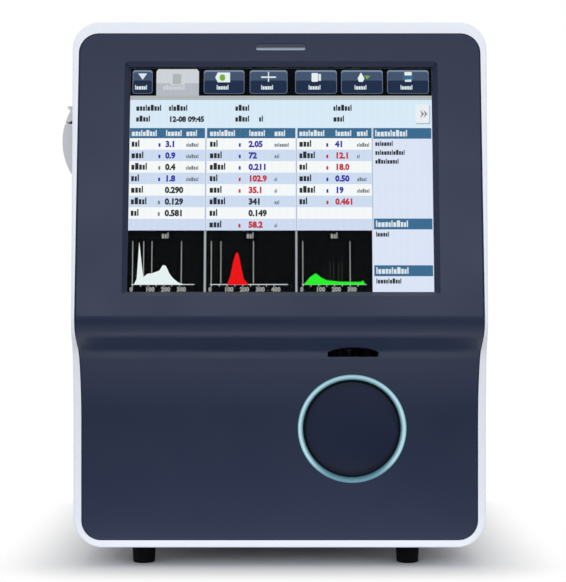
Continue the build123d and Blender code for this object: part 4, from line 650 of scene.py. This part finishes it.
# message column
drawBox(areas["messageLeft"], areas["tableTop"], areas["right"], areas["bottom"], "side", 0)
drawBox(244.6, areas["tableTop"], 245.2, areas["tableEnd"], "gap", 1)
for top in (areas["tableTop"], 152.4, 198.8):
    drawBox(246, top, 304.5, top + 10.8, "band", 1)
    drawWord(248, top + 8.4, 11, "light", 2, "message")
for base, letters in ((79.6, 8), (88.6, 13), (97.5, 10), (170.4, 6), (216.8, 11)):
    drawWord(248, base, letters, "ink", 1, "note")

# three curve plots
plotLines = {
    "title": 172.2,
    "markerTop": 175,
    "markerEnd": 217,
    "markerHalf": 0.45,
    "dimTop": 195,
    "dimHalf": 0.4,
    "ground": 218,
    "axis": (217.4, 218.1),
    "tickStep": 7.8,
    "tickWidth": 0.6,
    "tickEnd": 219.8,
    "numberBase": 224.6,
    "numberStep": 50,
}
plots = [
    {
        "left": 0, "right": areas["firstGap"], "colour": "peak", "markers": (5.2, 16.2, 24.4, 53.8),
        "axisEnd": 67,
        "outline": [(7, 217.5), (9.5, 212), (11.6, 175.5), (13.6, 192), (16, 210.5), (20.5, 207), (24, 207),
                    (28, 205.5), (32, 204), (35.5, 198.5), (38.5, 199.5), (42, 207), (46, 212),
                    (51, 215.8), (56, 217.5)],
    },
    {
        "left": 78.4, "right": areas["secondGap"], "colour": "cells", "markers": (83.6, 93.2, 125.6),
        "axisEnd": 160,
        "outline": [(99.5, 217.5), (102.5, 210), (105.5, 195), (108, 187), (109.5, 185.8), (111, 188.5),
                    (113.5, 201), (116, 212), (120.5, 217.5)],
    },
    {
        "left": 169.4, "right": areas["messageLeft"], "colour": "small", "markers": (174.8, 221.9),
        "axisEnd": 238,
        "outline": [(176, 217.5), (182, 210.5), (187.6, 206.6), (194, 211.5), (199, 213.6), (212, 215),
                    (232, 215.2), (235, 213.8), (236.6, 217.5)],
    },
]
ground = plotLines["ground"]
axisTop, axisLow = plotLines["axis"]
for plot in plots:
    drawBox(plot["left"], areas["plotTop"], plot["right"], areas["bottom"], "plot", 1)
    drawWord((plot["left"] + plot["right"]) / 2 - 4, plotLines["title"], 3, "lines", 2, "plot")
    for x in plot["markers"]:
        drawBox(x - plotLines["markerHalf"], plotLines["markerTop"],
                x + plotLines["markerHalf"], plotLines["markerEnd"], "lines", 2)
    for low, high in zip(plot["outline"], plot["outline"][1:]):
        drawShape([low, high, (high[0], ground), (low[0], ground)], plot["colour"], 3)
    start = plot["markers"][0]
    drawBox(start - 1, axisTop, plot["axisEnd"], axisLow, "light", 3)
    for i in range(int((plot["axisEnd"] - start) / plotLines["tickStep"])):
        x = start + i * plotLines["tickStep"]
        drawBox(x, axisTop, x + plotLines["tickWidth"], plotLines["tickEnd"], "light", 3)
        if i % 2 == 0:
            drawNumber(str(i * plotLines["numberStep"]), x - 2.5, plotLines["numberBase"], "lines", 3, "axis")
for x in (202, 205.4, 210.3, 214):
    drawBox(x - plotLines["dimHalf"], plotLines["dimTop"],
            x + plotLines["dimHalf"], plotLines["markerEnd"], "dimLines", 2)
drawBox(areas["firstGap"], areas["plotTop"], 78.4, areas["bottom"], "gap", 1)
drawBox(areas["secondGap"], areas["plotTop"], 169.4, areas["bottom"], "gap", 1)
bm.normal_update()
bm.to_mesh(screenMesh)
bm.free()
addPiece("screenPicture", screenMesh, "root", list(screenMaterials.values()))
print("screen drawn:", len(screenMesh.polygons), "faces")


# printed black border between the picture and the window, in screen steps
border = {
    "seam": 0.9,        # black line left at the top and the right of the picture
    "sliver": 0.2,      # the same at its left and its foot
    "outer": 6.5,       # how far the printed border runs under the panel
    "layer": 12,
}
borderMesh = bpy.data.meshes.new("screenBorder")
bm = bmesh.new()
farRight, farDown = screen["across"], screen["down"]
seam, sliver, outside = border["seam"], border["sliver"], border["outer"]
inner = [(seam, seam), (farRight - seam, seam),
         (farRight - seam, farDown - sliver), (sliver, farDown - sliver)]
outer = [(-outside, -outside), (farRight + outside, -outside),
         (farRight + outside, farDown + outside), (-outside, farDown + outside)]
for i in range(4):
    j = (i + 1) % 4
    corners = [inner[i], outer[i], outer[j], inner[j]]
    bm.faces.new([bm.verts.new(screenPoint(u, v, border["layer"])) for u, v in corners])
bm.normal_update()
bm.to_mesh(borderMesh)
bm.free()
addPiece("screenBorder", borderMesh, "root", [blackFilm])


# helpers for turned and pressed pieces
def joinRings(bm, rings, closed=False):
    # faces between each ring of points and the next
    pairs = list(zip(rings, rings[1:])) + ([(rings[-1], rings[0])] if closed else [])
    for first, second in pairs:
        for i in range(len(first)):
            j = (i + 1) % len(first)
            bm.faces.new([first[i], first[j], second[j], second[i]])


def turned(bm, profile, place, axis, sides):
    # turns a closed line of (distance along, radius) points about an axis through place
    along = Vector(axis).normalized()
    across = along.orthogonal().normalized()
    rings = []
    for distance, radius in profile:
        ring = []
        for i in range(sides):
            turn = Matrix.Rotation(2 * pi * i / sides, 3, along)
            ring.append(bm.verts.new(Vector(place) + along * distance + (turn @ across) * radius))
        rings.append(ring)
    joinRings(bm, rings, closed=True)


def pressed(bm, low, high, edge):
    # a small block with all its edges eased
    made = bmesh.ops.create_cube(bm, size=1)["verts"]
    size = Vector(high) - Vector(low)
    for vert in made:
        vert.co = Vector(low) + Vector([(vert.co[k] + 0.5) * size[k] for k in range(3)])
    edges = {e for v in made for e in v.link_edges}
    bmesh.ops.bevel(bm, geom=list(edges), offset=edge, segments=2, affect="EDGES", profile=0.5)


def finishMesh(bm, name):
    bmesh.ops.recalc_face_normals(bm, faces=bm.faces)
    mesh = bpy.data.meshes.new(name)
    bm.to_mesh(mesh)
    bm.free()
    return mesh


# a thin black ring round the key's face, in mm: it stands for the shade in the gap between the key and its
# light ring, so it is painted shade
keyGapShade = {"radii": (33.4, 34.75), "thickness": 0.25, "ease": 0.1, "inset": 0.02, "sides": 96}
keyLow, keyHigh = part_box("aspirate_key")
keyMiddle = (keyLow + keyHigh) / 2
small, large = (r * mm for r in keyGapShade["radii"])
thick, ease = keyGapShade["thickness"] * mm, keyGapShade["ease"] * mm
bm = bmesh.new()
turned(bm, [(0, small), (0, large), (thick, large - ease), (thick, small + ease)],
       (keyMiddle.x, keyLow.y + keyGapShade["inset"] * mm, keyMiddle.z), (0, -1, 0), keyGapShade["sides"])
addPiece("keyGapShade", finishMesh(bm, "keyGapShade"), "key", [nitrile])


# threads of the three drive screws
threads = {
    "pitch": 2.0 * mm,      # four starts make the 8 mm lead
    "depth": 0.32 * mm,
    "sides": 24,
    "ringsPerPitch": 4,
    "starts": 4,
}
for node, body in (("lift_screw", "lead_screw"), ("diluent_screw", "diluent_spindle"),
                   ("sample_screw", "sample_spindle")):
    low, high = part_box(node)
    radius = (high.x - low.x) / 2
    middle = (low + high) / 2
    lead = threads["pitch"] * threads["starts"]
    steps = int((high.z - low.z) / threads["pitch"] * threads["ringsPerPitch"])
    bm = bmesh.new()
    rings = []
    for k in range(steps + 1):
        z = low.z + (high.z - low.z) * k / steps
        depth = 0 if k in (0, steps) else threads["depth"]  # both ends are plain
        ring = []
        for i in range(threads["sides"]):
            angle = 2 * pi * i / threads["sides"]
            wave = 0.5 - 0.5 * cos(threads["starts"] * (angle - 2 * pi * z / lead))
            r = radius - depth * wave
            ring.append(bm.verts.new((middle.x + r * cos(angle), middle.y + r * sin(angle), z)))
        rings.append(ring)
    joinRings(bm, rings)
    bm.faces.new(rings[0][::-1])
    bm.faces.new(rings[-1])
    name = node + "Thread"
    thread = addPiece(name, finishMesh(bm, name), body, [groundSteel], smooth=True)
    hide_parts(node)
print("drive screws threaded")


# toothed belt of the carriage
belt = {
    "pitch": 2.0 * mm,
    "tooth": 0.55 * mm,
    "thickness": 1.2 * mm,      # teeth and all
    "ringsPerTooth": 4,         # two of them in the gap before the tooth
}
low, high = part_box("drive_belt")
outerRadius = (high.z - low.z) / 2
innerRadius = outerRadius - belt["thickness"]
middleZ = (high.z + low.z) / 2
rearY, frontY = high.y - outerRadius, low.y + outerRadius
straight = rearY - frontY
halfTurn = pi * outerRadius
around = 2 * straight + 2 * pi * outerRadius
teeth = round(around / belt["pitch"])
ringCount = teeth * belt["ringsPerTooth"]
bm = bmesh.new()
rings = []
for k in range(ringCount):
    s = around * k / ringCount
    if s < straight:
        centre, out = Vector((0, rearY - s, middleZ)), Vector((0, 0, 1))
    elif s < straight + halfTurn:
        turn = (s - straight) / outerRadius
        centre, out = Vector((0, frontY, middleZ)), Vector((0, -sin(turn), cos(turn)))
    elif s < 2 * straight + halfTurn:
        centre, out = Vector((0, frontY + s - straight - halfTurn, middleZ)), Vector((0, 0, -1))
    else:
        turn = (s - 2 * straight - halfTurn) / outerRadius
        centre, out = Vector((0, rearY, middleZ)), Vector((0, sin(turn), -cos(turn)))
    inGap = k % belt["ringsPerTooth"] < belt["ringsPerTooth"] / 2
    bore = innerRadius + (belt["tooth"] if inGap else 0)
    rings.append([bm.verts.new(centre + out * r + Vector((x, 0, 0)))
                  for x, r in ((low.x, bore), (low.x, outerRadius), (high.x, outerRadius), (high.x, bore))])
joinRings(bm, rings, closed=True)
toothedBelt = addPiece("toothedBelt", finishMesh(bm, "toothedBelt"), "root", [beltRubber])
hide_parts("drive_belt")
print("belt toothed:", teeth, "teeth")


# marks on the rocker switch: a bar above and a ring below
rocker = {
    "axis": (-110 * mm, 174 * mm, 76 * mm),
    "turn": radians(-8),
    "ridge": (178.4 * mm, 76 * mm),          # y and z of the ridge before it is pressed over
    "ends": ((180 * mm, 85 * mm), (180 * mm, 67 * mm)),
    "fromRidge": 4.6 * mm,
    "lift": 0.03 * mm,
    "bar": (0.45, 1.9),                      # half width and half length, in mm
    "ring": (1.25, 1.95),                    # radii, in mm
    "ringSides": 28,
}
bm = bmesh.new()
for end, shape in zip(rocker["ends"], ("bar", "ring")):
    start = Vector((rocker["axis"][0], *rocker["ridge"]))
    along = Vector((0, end[0] - start.y, end[1] - start.z))
    out = Vector((0, abs(along.z), -along.y * (1 if along.z > 0 else -1))).normalized()
    along.normalize()
    middle = start + along * rocker["fromRidge"] + out * rocker["lift"]
    if shape == "bar":
        halfWide, halfLong = rocker["bar"]
        outline = [(-halfWide, -halfLong), (halfWide, -halfLong), (halfWide, halfLong), (-halfWide, halfLong)]
        bm.faces.new([bm.verts.new(middle + Vector((u * mm, 0, 0)) + along * v * mm) for u, v in outline])
    else:
        angles = [2 * pi * i / rocker["ringSides"] for i in range(rocker["ringSides"])]
        rings = [[bm.verts.new(middle + Vector((r * cos(a) * mm, 0, 0)) + along * r * sin(a) * mm)
                  for a in angles] for r in rocker["ring"]]
        joinRings(bm, rings)
bmesh.ops.rotate(bm, verts=bm.verts, cent=rocker["axis"], matrix=Matrix.Rotation(rocker["turn"], 3, "X"))
addPiece("rockerMarks", finishMesh(bm, "rockerMarks"), "rocker", [whiteInk])


# coloured collars of the fluid ports, in mm
ports = {
    "places": (60, 82, 104, 126),
    "height": 72,
    "panel": 178,
    "radii": (7.9, 10.4),
    "thickness": 0.8,
    "ease": 0.25,
    "sides": 48,
    "finishes": (fitBlue, fitRed, fitYellow, whiteInk),
}
small, large = (r * mm for r in ports["radii"])
thick, ease = ports["thickness"] * mm, ports["ease"] * mm
for i, (x, finish) in enumerate(zip(ports["places"], ports["finishes"])):
    bm = bmesh.new()
    turned(bm, [(0, small), (0, large), (thick - ease, large), (thick, large - ease), (thick, small + ease),
                (thick - ease, small)],
           (x * mm, ports["panel"] * mm, ports["height"] * mm), (0, 1, 0), ports["sides"])
    addPiece(f"portCollar{i + 1}", finishMesh(bm, f"portCollar{i + 1}"), "root", [finish])
print("rear ports marked")


# scale lines on the syringe barrels, in mm
scales = {
    "barrels": ((87, -128, 11.0), (87, -84, 4.5)),   # place and outer radius
    "low": 140,
    "step": 5,
    "count": 12,
    "line": 0.35,
    "proud": 0.04,
    "sweep": 70,            # degrees round the barrel
    "shortShare": 0.6,      # length of every second line, as a share of the others
    "parts": 8,             # straight parts along a line
}
bm = bmesh.new()
for x, y, radius in scales["barrels"]:
    r = (radius + scales["proud"]) * mm
    for i in range(scales["count"]):
        z = (scales["low"] + i * scales["step"]) * mm
        sweep = radians(scales["sweep"] if i % 2 == 0 else scales["sweep"] * scales["shortShare"])
        angles = [sweep * (k / scales["parts"] - 0.5) for k in range(scales["parts"] + 1)]
        rows = [[bm.verts.new((x * mm + r * cos(a), y * mm + r * sin(a), z + side * scales["line"] * mm / 2))
                 for a in angles] for side in (-1, 1)]
        for k in range(scales["parts"]):
            bm.faces.new([rows[0][k], rows[0][k + 1], rows[1][k + 1], rows[1][k]])
addPiece("barrelScales", finishMesh(bm, "barrelScales"), "root", [motorPaint])


# contacts and lamps of the network socket, in mm
socket = {"x": 3, "z": 66, "front": 178.5}
contact = {
    "count": 8,
    "pitch": 1.02,
    "half": 0.22,           # half its width
    "ends": (-13.3, -3),    # rear and front, from the socket's front
    "heights": (-3.9, -3.2),
    "ease": 0.06,
}
socketLamp = {
    "aside": 5.6,           # from the socket's middle
    "half": 1.2,
    "ends": (-0.6, 0.25),
    "heights": (4.2, 5.8),
    "ease": 0.15,
}


def socketBlock(bm, x, piece):
    # a block centred on x, which reaches from one end to the other behind or past the socket's front
    (rear, front), (foot, top) = piece["ends"], piece["heights"]
    pressed(bm, (x - piece["half"] * mm, (socket["front"] + rear) * mm, (socket["z"] + foot) * mm),
            (x + piece["half"] * mm, (socket["front"] + front) * mm, (socket["z"] + top) * mm),
            piece["ease"] * mm)


bm = bmesh.new()
for i in range(contact["count"]):
    socketBlock(bm, (socket["x"] + (i - (contact["count"] - 1) / 2) * contact["pitch"]) * mm, contact)
addPiece("socketContacts", finishMesh(bm, "socketContacts"), "root", [gold])
for name, side, finish in (("socketLampLeft", -1, fitYellow), ("socketLampRight", 1, fitBlue)):
    bm = bmesh.new()
    socketBlock(bm, (socket["x"] + side * socketLamp["aside"]) * mm, socketLamp)
    addPiece(name, finishMesh(bm, name), "root", [finish])
print("sockets dressed")


# end caps of the stepper motors, in mm
caps = {
    "side": 28.0,
    "corner": 3.0,
    "cap": 7.0,
    "proud": 0.12,
    "gap": 0.3,         # clearance at the mounting face and at the rear end
    "bevel": 0.25,
    "eased": 0.985,     # share of the side that the bevel leaves
}
motors = [  # mounting face's middle, direction along the motor, its length, body, name
    ((20, -12, 285), (-1, 0, 0), 30, "root", "driveMotor"),
    ((47, -168, 296), (0, 0, 1), 30, "sampling_carriage", "liftMotor"),
    ((109, -128, 19), (0, 0, 1), 30, "root", "diluentMotor"),
    ((109, -84, 19), (0, 0, 1), 30, "root", "sampleMotor"),
]
half, cut = caps["side"] / 2 + caps["proud"], caps["corner"]
deep, bevel, eased = caps["cap"] - caps["gap"], caps["bevel"], caps["eased"]
for place, direction, length, body, name in motors:
    along = Vector(direction)
    across = along.orthogonal().normalized()
    third = along.cross(across)
    outline = []
    for sx, sy in ((1, 1), (-1, 1), (-1, -1), (1, -1)):
        corner = [(half * sx, (half - cut) * sy), ((half - cut) * sx, half * sy)]
        outline += corner if sx * sy > 0 else corner[::-1]
    bm = bmesh.new()
    for start in (caps["gap"], length - caps["cap"]):
        rings = [[bm.verts.new((Vector(place) + along * (start + d) + across * u * f + third * v * f) * mm)
                  for u, v in outline]
                 for d, f in ((0, eased), (bevel, 1.0), (deep - bevel, 1.0), (deep, eased))]
        joinRings(bm, rings)
    addPiece(name + "Caps", finishMesh(bm, name + "Caps"), body, [anodised])
print("motors capped")
